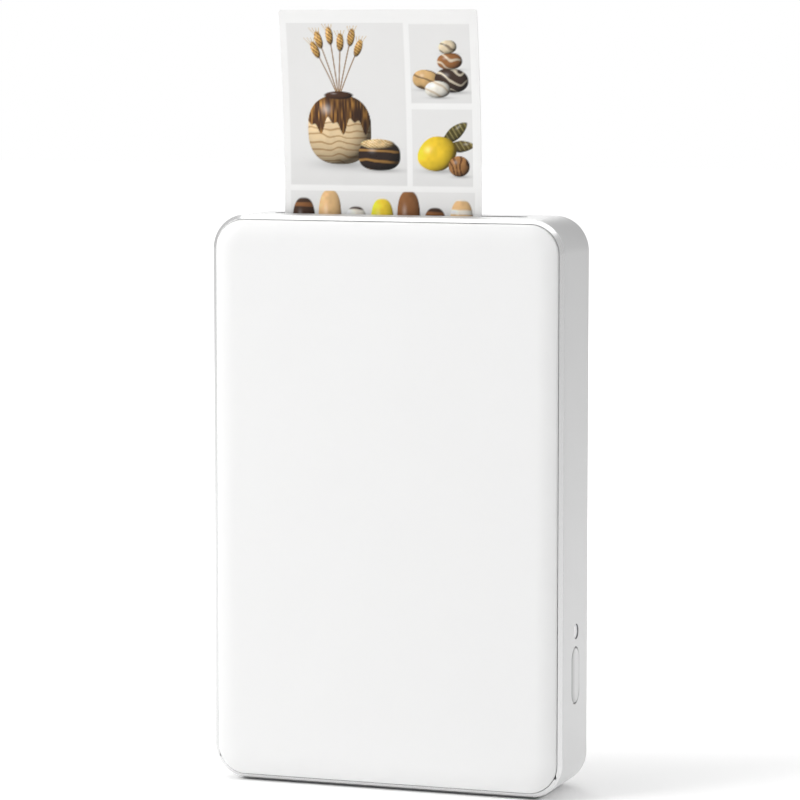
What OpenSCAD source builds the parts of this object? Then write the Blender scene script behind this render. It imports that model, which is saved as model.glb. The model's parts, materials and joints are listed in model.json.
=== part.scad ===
// A pocket photo printer that stands on its short end and feeds each sheet out of the top.
// X runs across the width, the front faces -Y and Z is up; the origin is the middle of the base.
// The front cover opens forwards on a hinge at the foot, and the paper bay lies behind it.

/* [Case] */
// Width of the case
case_w = 90; // [89:0.5:92]
// Height of the case
case_h = 139.5; // [139:0.5:142]
// Depth of the side band, from the ring at the front to the rear cover
band_d = 20; // [19.9:0.1:20.4]
// Outer radius of the case's corners
corner_r = 8.5; // [7.5:0.5:9.5]
// Width of the bright ring round the front, which slopes at 45 degrees
ring_w = 1.16; // [1:0.02:1.3]
// How far the front cover bulges past the ring
front_crown = 1.44; // [1.2:0.02:1.6]
// How far the front cover's edge stands proud of the ring
edge_proud = 0.45; // [0.3:0.05:0.6]
// How far the rear cover bulges past the band
rear_crown = 2; // [1.8:0.1:2.4]
// Width of the rounded edge of the two covers
crown_w = 5; // [4:0.5:6]
// Wall of the side band
band_wall = 1.6; // [1.4:0.1:1.8]
// Gap between the front cover and the ring
seam = 0.12; // [0.1:0.02:0.2]

/* [Front cover] */
// Thickness of the cover's skin
skin = 1.5; // [1.3:0.1:1.6]
// Height of the hinge axis above the base
hinge_z = 6; // [5.8:0.1:6.4]
// Distance of the hinge axis behind the ring's front edge
hinge_back = 0.36; // [0.34:0.02:0.44]
// Radius of the hinge pins
hinge_pin_r = 0.5; // [0.4:0.05:0.55]
// Distance of each hinge from the middle
hinge_x = 28; // [24:1:30]

/* [Sheet] */
// Width of a sheet
sheet_w = 50.8; // [50.4:0.1:51]
// Length of a sheet
sheet_l = 76.2; // [75.6:0.1:76.2]
// Thickness of a sheet
sheet_t = 0.28; // [0.2:0.02:0.28]
// Number of sheets in the stack
sheets = 10; // [4:1:10]
// Where the middle of the sheet lies across the width
sheet_x = -4.5; // [-4.7:0.1:-4.3]
// How far the printed sheet stands out of the top
sheet_out = 49.6; // [40:0.2:52]
// Corner radius of a sheet
sheet_corner = 0.6; // [0.4:0.1:1.5]

/* [Exit slot] */
// Length of the slot in the top
slot_l = 65; // [64:0.5:66]
// Width of the slot
slot_w = 3.2; // [3:0.1:3.4]

/* [Side controls] */
// Height of the power button's middle
button_z = 28.75; // [28:0.25:29.5]
// Length of the power button's hole
button_l = 14; // [13:0.5:14]
// Width of the power button's hole
button_w = 6.4; // [6:0.1:6.4]
// How far the power button travels
button_travel = 0.4; // [0.3:0.05:0.4]
// Height of the status light
light_z = 39.4; // [39.2:0.1:39.8]
// Radius of the status light
light_r = 1.8; // [1.4:0.1:2]

/* [Rollers] */
// Radius of the platen roller
platen_r = 4; // [3.8:0.05:4]
// Height of the nip between the platen and the print head
nip_z = 128; // [127.8:0.1:128.4]
// Radius of the pick-up tyres
pickup_r = 5; // [4.8:0.05:5]
// Height of the pick-up roller
pickup_z = 112.5; // [112.2:0.1:113]
// Radius of both roller shafts
shaft_r = 1.5; // [1.3:0.05:1.5]

/* [Gears] */
// Module of the gear teeth, the pitch diameter for each tooth
gear_module = 0.5; // [0.5:0.01:0.51]
// Pressure angle of the teeth
pressure = 25; // [22:1:25]
// Play between meshed teeth at the pitch circle
backlash = 0.1; // [0.08:0.01:0.14]

/* [Hidden] */
$fn = 64;

// Layers through the depth, front to back
depth = front_crown + ring_w + band_d + rear_crown;
front_y = -depth / 2;
lip_y = front_y + front_crown;
band_y = lip_y + ring_w;
rear_y = band_y + band_d;
skin_y = front_y + skin;
liner_y = [-8.2, -7.2];
plate_y = [-4.45, -3.25];
stack_y = [-0.2 - sheets * 0.3, -0.2];
sheet_y = sheet_t / 2;
floor_y = [0.2, 1.4];
board_y = [2.6, 3.6];

// Outlines
mid_z = case_h / 2;
cover_gap = ring_w + seam;
cover_w = case_w - 2 * cover_gap;
cover_h = case_h - 2 * cover_gap;
cover_r = corner_r - cover_gap;
side_x = case_w / 2;
wall_x = side_x - band_wall;
top_z = case_h - band_wall;

// Hinge of the front cover
hinge_y = lip_y + hinge_back;
ear_r = 1;
knuckle_r = 1.25;
knuckle_l = 6;
ear_l = 2.3;
ear_gap = 0.2;
skirt_low_z = 10;
ledge_y = -9.3;
hinge_relief_y = -7.5;
swing_relief = 0.29;
fit = 0.05;

// Paper bay
bay_x = [sheet_x - 26, sheet_x + 26];
bay_wall = 0.8;
bay_front_y = -6.8;
stack_z = 41.9;
sheet_low_z = case_h + sheet_out - sheet_l;

// Press plate, its posts and the magnets of the cover
press_x = [sheet_x - 24, sheet_x + 24];
press_z = [44, 117];
press_post_r = 1;
press_head_r = 1.6;
press_spring_z = [64, 98];
magnet_at = [38.6, 131];

// Side plates that carry the rollers
plate_left_x = [bay_x[0] - bay_wall - 1.1, bay_x[0] - bay_wall - 0.1];
plate_right_x = [bay_x[1] + bay_wall + 0.1, bay_x[1] + bay_wall + 1.1];
plate_low_z = 98;
bush_r = 2.6;

// Gear train: [distance back, height] of each centre, worked out from the mesh distances
platen_n = 20;
idler_n = 12;
pickup_n = 20;
wheel_n = 30;
small_n = 12;
pinion_n = 10;
nip_play = 0.03;
platen_c = [sheet_y + nip_play + platen_r, nip_z];
pickup_c = [sheet_y + nip_play + pickup_r, pickup_z];
idler_c = third_corner(
    pickup_c, platen_c, mesh_distance(pickup_n, idler_n), mesh_distance(platen_n, idler_n)
);
wheel_y = 1;
wheel_c = [wheel_y, pickup_z - leg(mesh_distance(pickup_n, small_n), pickup_c[0] - wheel_y)];
motor_y = 2;
motor_c = [motor_y, wheel_c[1] - leg(mesh_distance(wheel_n, pinion_n), motor_y - wheel_y)];
near_gears_x = [24.5, 27.5];
shaft_x = [plate_left_x[0] - 2.4, near_gears_x[1]];
tyre_x = [[-22, -14], [5, 13]];
far_gears_x = [28.2, 30.7];
post_r = 1;

// Turn of each gear about its axis at which its teeth sit between its neighbour's
platen_turn = 0;
idler_turn = meshed_turn(platen_c, platen_n, platen_turn, idler_c, idler_n);
pickup_turn = meshed_turn(idler_c, idler_n, idler_turn, pickup_c, pickup_n);
small_turn = meshed_turn(pickup_c, pickup_n, pickup_turn, wheel_c, small_n);
wheel_turn = small_turn;
pinion_turn = meshed_turn(wheel_c, wheel_n, wheel_turn, motor_c, pinion_n);

// Print head
head_pivot = [-3.2, 121.8];
head_pin_r = 1;
head_x = [sheet_x - 25.5, sheet_x + 25.5];
head_face_y = -sheet_y - nip_play;
head_spring_x = [sheet_x - 16, sheet_x + 16];
bar_y = [-8.6, -7.8];

// Motor and its bracket
motor_r = 5.6;
motor_x = [32, 39];
bracket_x = [31.2, 32];
standoffs = [[-5.2, 92.6], [7.8, 91], [-5, 115.5]];

// Screws that hold the chassis to the band
corner_boss = [39.6, 5.4];
side_boss = [41.4, 70];
boss_r = 2.8;
boss_y = [floor_y[1], 8.6];
screw_r = 0.9;

// Socket in the base
socket_x = -20;
socket_y = 1;
socket_w = 9;
socket_t = 3.2;
button_y = 0.3;
light_y = 0.7;

// Electronics behind and beside the chassis
board_screws = [[-33, 17.5], [33, 17.5], [-33, 38.5], [33, 38.5]];
sensor_x = [-6, -3];
ribbon_x = [-36.9, -33.3];
ribbon_y = [-5.4, -5.2];
battery_x = [-38.6, 14];
battery_z = [45, 96];

// ---- Helpers ----

// Extrudes a drawing made in x and z between two depths
module slab(y) {
    translate([0, y[1], 0]) rotate([90, 0, 0]) linear_extrude(y[1] - y[0]) children();
}

// Extrudes a drawing made in y and z between two places across the width
module across(x) {
    translate([x[0], 0, 0]) rotate([90, 0, 90]) linear_extrude(x[1] - x[0]) children();
}

module block(x, y, z) {
    translate([x[0], y[0], z[0]]) cube([x[1] - x[0], y[1] - y[0], z[1] - z[0]]);
}

// Rectangle with round corners about the origin
module rounded(w, h, r) {
    square([w, h - 2 * r], center = true);
    square([w - 2 * r, h], center = true);
    for (x = [-1, 1], y = [-1, 1]) translate([x * (w / 2 - r), y * (h / 2 - r)]) circle(r);
}

// Outline of the case, moved in by a distance
module case_outline(inset) {
    translate([0, mid_z]) rounded(case_w - 2 * inset, case_h - 2 * inset, corner_r - inset);
}

// A slot with round ends, longer along its first side
module pill(l, w) {
    square([l - w, w], center = true);
    for (x = [-1, 1]) translate([x * (l - w) / 2, 0]) circle(w / 2);
}

// Both sides of the case
module mirrored() {
    children();
    mirror([1, 0, 0]) children();
}

// Plate with a rounded outline: its edge follows a profile of [distance in, height] points on the
// straight runs and round the corners, and its middle fills the heights from low to high
module edged_plate(w, h, r, profile, low, high) {
    mx = w / 2 - r;
    my = h / 2 - r;
    translate([-mx, -my, low]) cube([2 * mx, 2 * my, high - low]);
    for (turn = [0, 180]) rotate([0, 0, turn]) edge_run(mx, my, r, profile);
    for (turn = [90, 270]) rotate([0, 0, turn]) edge_run(my, mx, r, profile);
    for (turn = [0 : 3]) {
        sx = turn == 0 || turn == 3 ? 1 : -1;
        sy = turn < 2 ? 1 : -1;
        translate([sx * mx, sy * my, 0]) rotate([0, 0, 90 * turn])
            rotate_extrude(angle = 90) polygon([for (p = profile) [r - p[0], p[1]]]);
    }
}

module edge_run(reach, half, r, profile) {
    translate([0, half, 0]) rotate([90, 0, 0]) linear_extrude(2 * half)
        polygon([for (p = profile) [reach + r - p[0], p[1]]]);
}

// Height of a crown that falls along one arc, at a distance in from its edge
function crown_at(d, crown) = let (arc_r = (crown_w * crown_w + crown * crown) / (2 * crown))
    crown - arc_r + sqrt(arc_r * arc_r - pow(crown_w - min(d, crown_w), 2));

function crown_curve(crown, base, steps = 8) =
    [for (i = [0 : steps]) let (d = crown_w * i / steps) [d, base + crown_at(d, crown - base)]];

// Smooth turn from one point to another that leaves and arrives pointing at a corner
function turned_edge(from, corner, to, steps = 4) =
    [for (i = [0 : steps]) let (t = i / steps)
        (1 - t) * (1 - t) * from + 2 * t * (1 - t) * corner + t * t * to];

// The two ends of a span, given its middle and half its length
function about(middle, half) = [middle - half, middle + half];

// Other short side of a right triangle
function leg(longest, side) = sqrt(longest * longest - side * side);

// Corner in front of the line a-b that lies at distances ra from a and rb from b
function third_corner(a, b, ra, rb) =
    let (span = norm(b - a), along = (b - a) / span)
    let (reach = (ra * ra - rb * rb + span * span) / (2 * span))
    a + reach * along + leg(ra, reach) * [-along[1], along[0]];

// ---- Gears ----

function mesh_distance(n, m) = gear_module * (n + m) / 2;

// Turn that puts the second gear's teeth between the first one's on the line of centres
function meshed_turn(c1, n1, turn1, c2, n2) =
    let (way = atan2(c2[1] - c1[1], c2[0] - c1[0]))
    way + 180 - (180 - n1 * (way - turn1)) / n2;

// Involute function of an angle, in degrees
function inv(angle) = tan(angle) * 180 / PI - angle;

// Half the angle that a tooth takes up at radius r
function half_tooth(n, r) =
    let (pitch_r = gear_module * n / 2, base_r = pitch_r * cos(pressure))
    90 / n - backlash / 4 / pitch_r * 180 / PI + inv(pressure) - inv(acos(min(1, base_r / r)));

function tooth_radii(n) =
    let (pitch_r = gear_module * n / 2, base_r = pitch_r * cos(pressure))
    let (root_r = pitch_r - 1.2 * gear_module, tip_r = pitch_r + 0.85 * gear_module)
    concat(root_r < base_r ? [root_r] : [],
        [for (i = [0 : 3]) let (low = max(root_r, base_r)) low + (tip_r - low) * i / 3]);

module gear_outline(n, turn) {
    radii = tooth_radii(n);
    polygon([for (i = [0 : n - 1], side = [-1, 1], j = [0 : len(radii) - 1])
        let (r = radii[side < 0 ? j : len(radii) - 1 - j])
        let (angle = turn + 360 * i / n + side * half_tooth(n, r))
        r * [cos(angle), sin(angle)]]);
}

// A spur gear between two places across the width, with a hub and a bore
module gear(x, centre, n, turn, bore_r) {
    hub_r = bore_r + 0.9;
    difference() {
        union() {
            across([x[0] + 0.2, x[1] - 0.2]) translate(centre) gear_outline(n, turn);
            across(x) translate(centre) circle(hub_r);
        }
        across([x[0] - 1, x[1] + 1]) translate(centre) circle(bore_r);
    }
}

// ---- Springs ----

// Helix of round wire that starts at the origin and climbs along Z, with closed ends
module coil(r, wire_r, length, turns) {
    sides = 6;
    rings = turns * 14;
    rise = length - 2 * wire_r;
    points = [for (i = [0 : rings], k = [0 : sides - 1])
        let (around = 360 * turns * i / rings, across_wire = 360 * k / sides)
        let (reach = r + wire_r * cos(across_wire))
        [reach * cos(around), reach * sin(around),
            wire_r + rise * i / rings + wire_r * sin(across_wire)]];
    walls = [for (i = [0 : rings - 1], k = [0 : sides - 1])
        let (next = (k + 1) % sides)
        [i * sides + k, (i + 1) * sides + k, (i + 1) * sides + next, i * sides + next]];
    ends = [[for (k = [0 : sides - 1]) k], [for (k = [sides - 1 : -1 : 0]) rings * sides + k]];
    polyhedron(points, concat(walls, ends));
}

// ---- Case ----

module mid_frame() {
    color("silver") difference() {
        union() {
            band_shell();
            frame_bosses();
        }
        exit_cut();
        control_cuts();
        socket_cut(9.4, 3.6);
        screw_cuts();
        // Relief in the ring for the cover's corners as they swing past
        mirrored() across([wall_x - 1, side_x - ring_w - swing_relief])
            translate([hinge_y, hinge_z]) circle(0.95);
    }
}

module band_shell() {
    rear_edge = 0.4;
    back = -ring_w - band_d;
    difference() {
        translate([0, lip_y, mid_z]) rotate([90, 0, 0])
            edged_plate(case_w, case_h, corner_r, [
                [rear_edge, back], [0, back + rear_edge], [0, -ring_w],
                [ring_w, 0], [corner_r, 0], [corner_r, back]
            ], back, 0);
        slab([lip_y - 1, rear_y + 1]) case_outline(band_wall);
        slab([lip_y - 1, ledge_y]) case_outline(ring_w);
        intersection() {
            slab([lip_y - 1, hinge_relief_y]) case_outline(ring_w);
            block([-side_x, side_x], [lip_y - 2, 0], [-1, skirt_low_z]);
        }
    }
}

// Bosses for the chassis screws and posts for the catch plates, grown from the band
module frame_bosses() {
    for (end = [0, 1]) translate([0, 0, end * case_h]) mirror([0, 0, end]) mirrored()
        slab(boss_y) translate(corner_boss) circle(boss_r);
    mirrored() {
        slab(boss_y) translate(side_boss) circle(2.4);
        block([36, wall_x + 0.5], [-8.9, -5.5], [127.5, 134.5]);
        // Stiffening ribs across the band's inner face
        for (z = [48, 92]) block([wall_x - 0.9, wall_x + 0.5], [-6, boss_y[1]], [z, z + 1.2]);
    }
}

module exit_cut() {
    translate([0, 0, top_z - 1]) linear_extrude(band_wall + 2) pill(slot_l, slot_w);
}

module control_cuts() {
    across([wall_x - 2, side_x + 1]) {
        translate([button_y, button_z]) rotate(90) pill(button_l, button_w);
        translate([light_y, light_z]) circle(light_r + fit);
    }
}

module socket_cut(l, w) {
    translate([socket_x, socket_y, -1]) linear_extrude(band_wall + 2) pill(l, w);
}

module screw_cuts() {
    at_screws([boss_y[0] - 1, boss_y[1] - 1.2]) circle(screw_r);
}

// Draws at each of the six chassis screws
module at_screws(y) {
    for (end = [0, 1]) translate([0, 0, end * case_h]) mirror([0, 0, end]) mirrored()
        slab(y) translate(corner_boss) children();
    mirrored() slab(y) translate(side_boss) children();
}

module front_cover() {
    edge_t = 0.66;
    skirt_t = 1.2;
    edge_r = 0.5;
    crown_h = front_crown - edge_proud;
    rise = [for (p = crown_curve(front_crown, edge_proud)) if (p[0] > edge_r) p];
    color("whitesmoke") difference() {
        union() {
            translate([0, lip_y, mid_z]) rotate([90, 0, 0])
                edged_plate(cover_w, cover_h, cover_r, concat(
                    [[0, -edge_t]],
                    turned_edge([0, edge_proud - edge_r], [0, edge_proud],
                        [edge_r, edge_proud + crown_at(edge_r, crown_h)]),
                    rise,
                    [[cover_r, front_crown], [cover_r, front_crown - skin],
                        [2.4, front_crown - skin], [1.4, -edge_t]]
                ), front_crown - skin, front_crown);
            cover_skirt(skirt_t);
            mirrored() across([hinge_x - knuckle_l / 2, hinge_x + knuckle_l / 2])
                translate([hinge_y, hinge_z]) circle(knuckle_r);
        }
        mirrored() across([ear_span(-1)[0], ear_span(1)[1]])
            translate([hinge_y, hinge_z]) circle(hinge_pin_r + fit);
        mirrored() for (side = [-1, 1]) across(ear_span(side) + [-ear_gap, ear_gap])
            translate([hinge_y, hinge_z]) circle(ear_r + 0.15);
    }
}

// Wall that drops into the ring along the sides and the top
module cover_skirt(t) {
    outer = cover_gap + 0.1;
    difference() {
        slab([lip_y + 0.3, ledge_y - 0.1]) case_outline(outer);
        slab([lip_y - 1, ledge_y + 1]) case_outline(outer + t);
        block([-side_x, side_x], [lip_y - 1, 0], [-1, skirt_low_z]);
    }
}

// ---- Front cover's inner pieces ----

// Moulded liner that stiffens the cover and guides the press plate's four posts
module cover_liner() {
    liner_z = [17, 119];
    liner_x = 37;
    wall = 1.2;
    middle = (liner_z[0] + liner_z[1]) / 2;
    height = liner_z[1] - liner_z[0];
    color("gainsboro") difference() {
        union() {
            slab(liner_y) translate([0, middle]) rounded(2 * liner_x, height, 3);
            difference() {
                slab([skin_y, liner_y[1]]) translate([0, middle]) rounded(2 * liner_x, height, 3);
                slab([skin_y - 1, liner_y[1] + 1]) translate([0, middle])
                    rounded(2 * (liner_x - wall), height - 2 * wall, 3 - wall);
            }
            for (x = [-1, 0, 1]) block(about(31 * x, 0.5), [skin_y, liner_y[0]], liner_z + [0.5, -0.5]);
            for (z = [30, 80]) block([-36.5, 36.5], [skin_y, liner_y[0]], about(z, 0.5));
        }
        at_posts() slab([skin_y - 1, liner_y[1] + 1]) circle(press_post_r + 0.06);
        at_posts() slab([skin_y - 1, liner_y[0]]) circle(press_head_r + 0.3);
        for (z = press_spring_z)
            slab([liner_y[1] - 0.4, liner_y[1] + 1]) translate([sheet_x, z]) circle(3.3);
    }
}

// Places a child at each of the press plate's posts
module at_posts() {
    for (x = [press_x[0] + 8, press_x[1] - 8], z = [54, 107]) translate([x, 0, z]) children();
}

// Sprung plate that pushes the stack against the pick-up tyres
module press_plate() {
    color("dimgray") {
        difference() {
            union() {
                slab(plate_y) translate([sheet_x, (press_z[0] + press_z[1]) / 2])
                    rounded(press_x[1] - press_x[0], press_z[1] - press_z[0], 3);
                // Stiffening rails along the back of the plate
                for (x = [press_x[0] + 2, press_x[1] - 3.2])
                    block([x, x + 1.2], [plate_y[0] - 1, plate_y[0]], [press_z[0] + 4, press_z[1] - 4]);
                for (z = press_spring_z)
                    slab([plate_y[0] - 1.2, plate_y[0]]) translate([sheet_x, z]) circle(1.8);
            }
            for (z = [74 : 7 : 88])
                slab([plate_y[0] - 1, plate_y[1] + 1]) translate([sheet_x, z]) pill(28, 3);
        }
        at_posts() {
            slab([liner_y[0] - 0.4, plate_y[0]]) circle(press_post_r);
            slab([liner_y[0] - 1, liner_y[0] - 0.4]) circle(press_head_r);
        }
    }
}

module press_springs() {
    color("silver") for (z = press_spring_z)
        translate([sheet_x, liner_y[1] - 0.4, z]) rotate([-90, 0, 0])
            coil(2.5, 0.25, plate_y[0] - liner_y[1] + 0.4, 3);
}

module cover_magnets() {
    color("darkgray") mirrored() slab([skin_y, -9.4]) translate(magnet_at) circle(2.5);
}

module catch_plates() {
    color("silver") mirrored() slab([-9.3, -8.9]) translate(magnet_at) circle(2.5);
}

// Forked steel brackets that carry the cover's hinge pins
module hinge_brackets() {
    foot_y = [-7, -6];
    foot_z = [9.6, 14];
    color("silver") mirrored() difference() {
        union() {
            block([hinge_x - 5.5, hinge_x + 5.5], foot_y, foot_z);
            for (side = [-1, 1]) across(ear_span(side)) {
                translate([hinge_y, hinge_z]) circle(ear_r);
                polygon([
                    [hinge_y - 0.2, hinge_z + 0.95], [hinge_y + 0.75, hinge_z - 0.6],
                    [foot_y[1], foot_z[0]], [foot_y[1], foot_z[1] - 1], [foot_y[0], foot_z[1] - 1]
                ]);
            }
        }
        across([hinge_x - 7, hinge_x + 7]) translate([hinge_y, hinge_z]) circle(hinge_pin_r);
    }
}

// Where an ear lies across the width, inwards (-1) or outwards (1) of the knuckle
function ear_span(side) =
    let (middle = hinge_x + side * (knuckle_l / 2 + ear_gap + ear_l / 2))
    [middle - ear_l / 2, middle + ear_l / 2];

module hinge_pins() {
    color("silver") mirrored()
        across([ear_span(-1)[0], ear_span(1)[1]]) translate([hinge_y, hinge_z]) circle(hinge_pin_r);
}

module rear_cover() {
    edge_in = 0.15;
    edge_h = 0.25;
    r = corner_r - edge_in;
    lip_gap = 0.1;
    rib_y = [rear_y - 0.6, rear_y + rear_crown - skin];
    color("whitesmoke") {
        translate([0, rear_y, mid_z]) rotate([-90, 0, 0])
            edged_plate(case_w - 2 * edge_in, case_h - 2 * edge_in, r, concat(
                [[0, 0]], crown_curve(rear_crown, edge_h),
                [[r, rear_crown], [r, rear_crown - skin], [4, rear_crown - skin], [2.8, 0]]
            ), rear_crown - skin, rear_crown);
        difference() {
            slab([rear_y - 1.5, rear_y + 0.2]) case_outline(band_wall + lip_gap);
            slab([rear_y - 2, rear_y + 1]) case_outline(band_wall + lip_gap + 1.1);
        }
        // Ribs inside the shell
        for (x = [-24, 0, 24]) block(about(x, 0.5), rib_y, [6, case_h - 6]);
        for (z = [38, 100]) block([-39, 39], rib_y, about(z, 0.5));
    }
}

// ---- Chassis and paper bay ----

module chassis() {
    bar_z = [9.6, 14];
    color("dimgray") difference() {
        union() {
            slab(floor_y) translate([0, mid_z]) rounded(2 * 42.3, case_h - 2 * 2.2, 6);
            block([-42, 42], [-6, floor_y[1]], bar_z);
            // Low runners that the last sheet slides on
            for (x = [-24, -12, 3, 15])
                block([x, x + 0.8], [floor_y[0] - 0.04, floor_y[1]], [stack_z, 106]);
            // Standoffs for the main board
            at_board_screws() slab([floor_y[1], board_y[0]]) circle(2);
        }
        // Opening in front of the main board
        difference() {
            block([-38, 37], [-1, 2], [bar_z[1], 36]);
            mirrored() block(about(board_screws[1][0], 3), [-2, 3], [bar_z[0], board_screws[1][1] + 3]);
            at_board_screws() slab([-2, 3]) circle(3);
        }
        // Room for the slot's guide at the top
        block([-35, 35], [-1, 2], [135.5, case_h]);
        // Opening at the foot for the socket, and the hinge side below the bar
        block([-34, 34], [-1, 2], [0, bar_z[0]]);
        // Notch for the power switch and the light
        block([36.5, side_x], [-1, 2], [20, 42.5]);
        // Windows for the tyres, and for the platen up to the top
        for (x = tyre_x) block(x + [-0.5, 0.5], [-1, 2], [pickup_z - 4.4, pickup_z + 4.4]);
        block(bay_x + [-bay_wall, bay_wall], [-1, 2], [nip_z - 5, case_h]);
        // Window for the gears and the motor, and slots for the side plates
        block([plate_right_x[0] - 0.1, motor_x[1] + 0.8], [-1, 2], [86, 133]);
        for (x = [plate_left_x, plate_right_x])
            block(x + [-0.1, 0.1], [-1, 2], [plate_low_z - 0.3, 136.2]);
        block([sensor_x[0] - 0.1, sensor_x[1] + 0.1], [-1, 2], [119, 121.4]);
        at_screws([-1, 3]) circle(screw_r + 0.1);
    }
}

// Side walls and lower ledge of the paper bay, standing on the chassis
module paper_tray() {
    color("dimgray") {
        for (x = [[bay_x[0] - bay_wall, bay_x[0]], [bay_x[1], bay_x[1] + bay_wall]])
            block(x, [bay_front_y, floor_y[0]], [stack_z - 1.2, 119]);
        block(bay_x + [-bay_wall, bay_wall], [bay_front_y, floor_y[0]], [stack_z - 1.2, stack_z]);
    }
}

module at_board_screws() {
    for (p = board_screws) translate([p[0], 0, p[1]]) children();
}

// Outline of a side plate in depth and height, with its front corners cut back
module plate_outline(low_z) {
    polygon([
        [bay_front_y, low_z], [8.6, low_z], [9.4, low_z + 1], [9.4, 132], [6, 136],
        [bar_y[0], 136], [bar_y[0], 124.4], [bay_front_y, 122.4]
    ]);
}

module side_plate_left() {
    color("silver") difference() {
        across(plate_left_x) plate_outline(plate_low_z);
        roller_holes(plate_left_x);
        across(plate_left_x + [-1, 1]) {
            translate(head_pivot) circle(head_pin_r);
            // Window that the head's ribbon passes through
            translate([-5.3, 125.4]) square([1.2, 4.8], center = true);
            translate([-2, 104]) circle(1.6);
        }
    }
}

module side_plate_right() {
    color("silver") difference() {
        across(plate_right_x) plate_outline(88);
        roller_holes(plate_right_x);
        across(plate_right_x + [-1, 1]) {
            translate(head_pivot) circle(head_pin_r);
            for (p = [idler_c, wheel_c]) translate(p) circle(post_r);
            for (p = standoffs) translate(p) circle(0.8);
        }
    }
}

module roller_holes(x) {
    across(x + [-1, 1]) for (p = [platen_c, pickup_c]) translate(p) circle(bush_r);
}

// Dark insert that lines the slot and guides the sheet out
module exit_guide() {
    mouth_l = slot_l - 2.4;
    mouth_w = 1.3;
    rim = 0.2;
    rim_depth = 1;
    color("black") difference() {
        union() {
            translate([0, 0, top_z - 0.5]) linear_extrude(band_wall + 0.45)
                pill(slot_l - 0.1, slot_w - 0.1);
            translate([0, 0, top_z - 1.2]) linear_extrude(1.2) pill(slot_l + 3, slot_w + 3.4);
        }
        translate([0, 0, top_z - 3]) linear_extrude(6) pill(mouth_l, mouth_w);
        // Wide part of the mouth, behind a thin rim
        translate([0, 0, case_h - rim_depth]) linear_extrude(2)
            pill(slot_l - 2 * rim, slot_w - 2 * rim);
        // Funnel below the mouth
        across([-mouth_l / 2 + 0.6, mouth_l / 2 - 0.6]) polygon([
            [-1.8, top_z - 1.3], [1.8, top_z - 1.3],
            [mouth_w / 2 - 0.01, top_z], [0.01 - mouth_w / 2, top_z]
        ]);
    }
}

// Friction pad on a crossbar, which lets one sheet through at a time
module separator_pad() {
    pad_z = [119, 119.9];
    color("saddlebrown") {
        across([sheet_x - 8, sheet_x + 8]) polygon([
            [-0.3, pad_z[0] + 0.3], [-0.9, pad_z[1]], [-2.6, pad_z[1]], [-2.6, pad_z[0]], [-0.9, pad_z[0]]
        ]);
        block([plate_left_x[1], plate_right_x[0]], [-5.4, -2.6], pad_z);
    }
}

// ---- Print head ----

module print_head() {
    color("ivory") difference() {
        block(head_x, [head_face_y - 1, head_face_y], [nip_z - 3.6, nip_z + 4.4]);
        // Faces that fall away from the heating line
        across(head_x + [-1, 1]) polygon([
            [head_face_y + 0.1, nip_z + 1.4], [head_face_y, nip_z + 1.4],
            [head_face_y - 0.35, nip_z + 4.5], [head_face_y + 0.1, nip_z + 4.5]
        ]);
    }
}

module heat_sink() {
    y = [head_face_y - 3.4, head_face_y - 1];
    color("lightgray") difference() {
        block(head_x + [0.4, -0.4], y, [nip_z - 4, nip_z + 5.6]);
        for (z = [nip_z - 2.6 : 1.6 : nip_z + 4])
            block(head_x + [-1, 1], [y[0] - 1, y[0] + 1], [z, z + 0.8]);
    }
}

module head_bracket() {
    back_y = head_face_y - 3.4;
    web_y = [back_y - 0.8, back_y];
    color("silver") difference() {
        union() {
            block(head_x, web_y, [nip_z - 4.4, nip_z + 6]);
            for (x = [head_x[0], head_x[1] - 0.8]) across([x, x + 0.8]) polygon([
                [web_y[0], nip_z + 6], [web_y[0], nip_z - 4.4],
                [head_pivot[0] - 1.6, head_pivot[1] - 0.5],
                [head_pivot[0] - 0.8, head_pivot[1] - 1.7], [head_pivot[0] + 0.8, head_pivot[1] - 1.7],
                [head_pivot[0] + 1.6, nip_z - 4.1], [web_y[1], nip_z - 4.1], [web_y[1], nip_z + 6]
            ]);
        }
        across(head_x + [-1, 1]) translate(head_pivot) circle(head_pin_r + fit);
        for (x = head_spring_x)
            slab([web_y[0] - 1, web_y[0] + 0.3]) translate([x, nip_z + 1]) circle(2.1);
    }
}

module head_springs() {
    start = bar_y[1];
    stop = head_face_y - 3.4 - 0.5;
    color("silver") for (x = head_spring_x)
        translate([x, start, nip_z + 1]) rotate([-90, 0, 0]) coil(1.7, 0.2, stop - start, 4);
}

module head_pin() {
    color("silver") across([plate_left_x[0], plate_right_x[1]]) translate(head_pivot) circle(head_pin_r);
}

// Steel bar across the side plates that the head's springs push against
module spring_bar() {
    color("silver") {
        block([plate_left_x[1], plate_right_x[0]], bar_y, [nip_z - 2.5, nip_z + 6]);
        for (x = [plate_left_x[1], plate_right_x[0] - 0.7])
            block([x, x + 0.7], [bar_y[1], bar_y[1] + 2.4], [nip_z + 2, nip_z + 6]);
        for (x = head_spring_x) slab([bar_y[1], bar_y[1] + 0.8]) translate([x, nip_z + 1]) circle(1.2);
    }
}

// ---- Rollers and gears ----

module roller_shaft(centre) {
    color("silver") difference() {
        across(shaft_x) translate(centre) circle(shaft_r);
        // Groove for the retaining clip
        across([shaft_x[0] + 0.7, shaft_x[0] + 1.3]) translate(centre) difference() {
            circle(shaft_r + 1);
            circle(shaft_r - 0.4);
        }
    }
}

module tube(x, centre, outer, inner) {
    difference() {
        across(x) translate(centre) circle(outer);
        across(x + [-1, 1]) translate(centre) circle(inner);
    }
}

module retaining_clip(centre) {
    color("silver") difference() {
        across([shaft_x[0] + 0.75, shaft_x[0] + 1.25]) translate(centre) circle(2.5);
        across([shaft_x[0], shaft_x[0] + 2]) translate(centre) {
            circle(shaft_r - 0.4);
            translate([0, -1.5]) square([1.6, 3], center = true);
        }
    }
}

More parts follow.
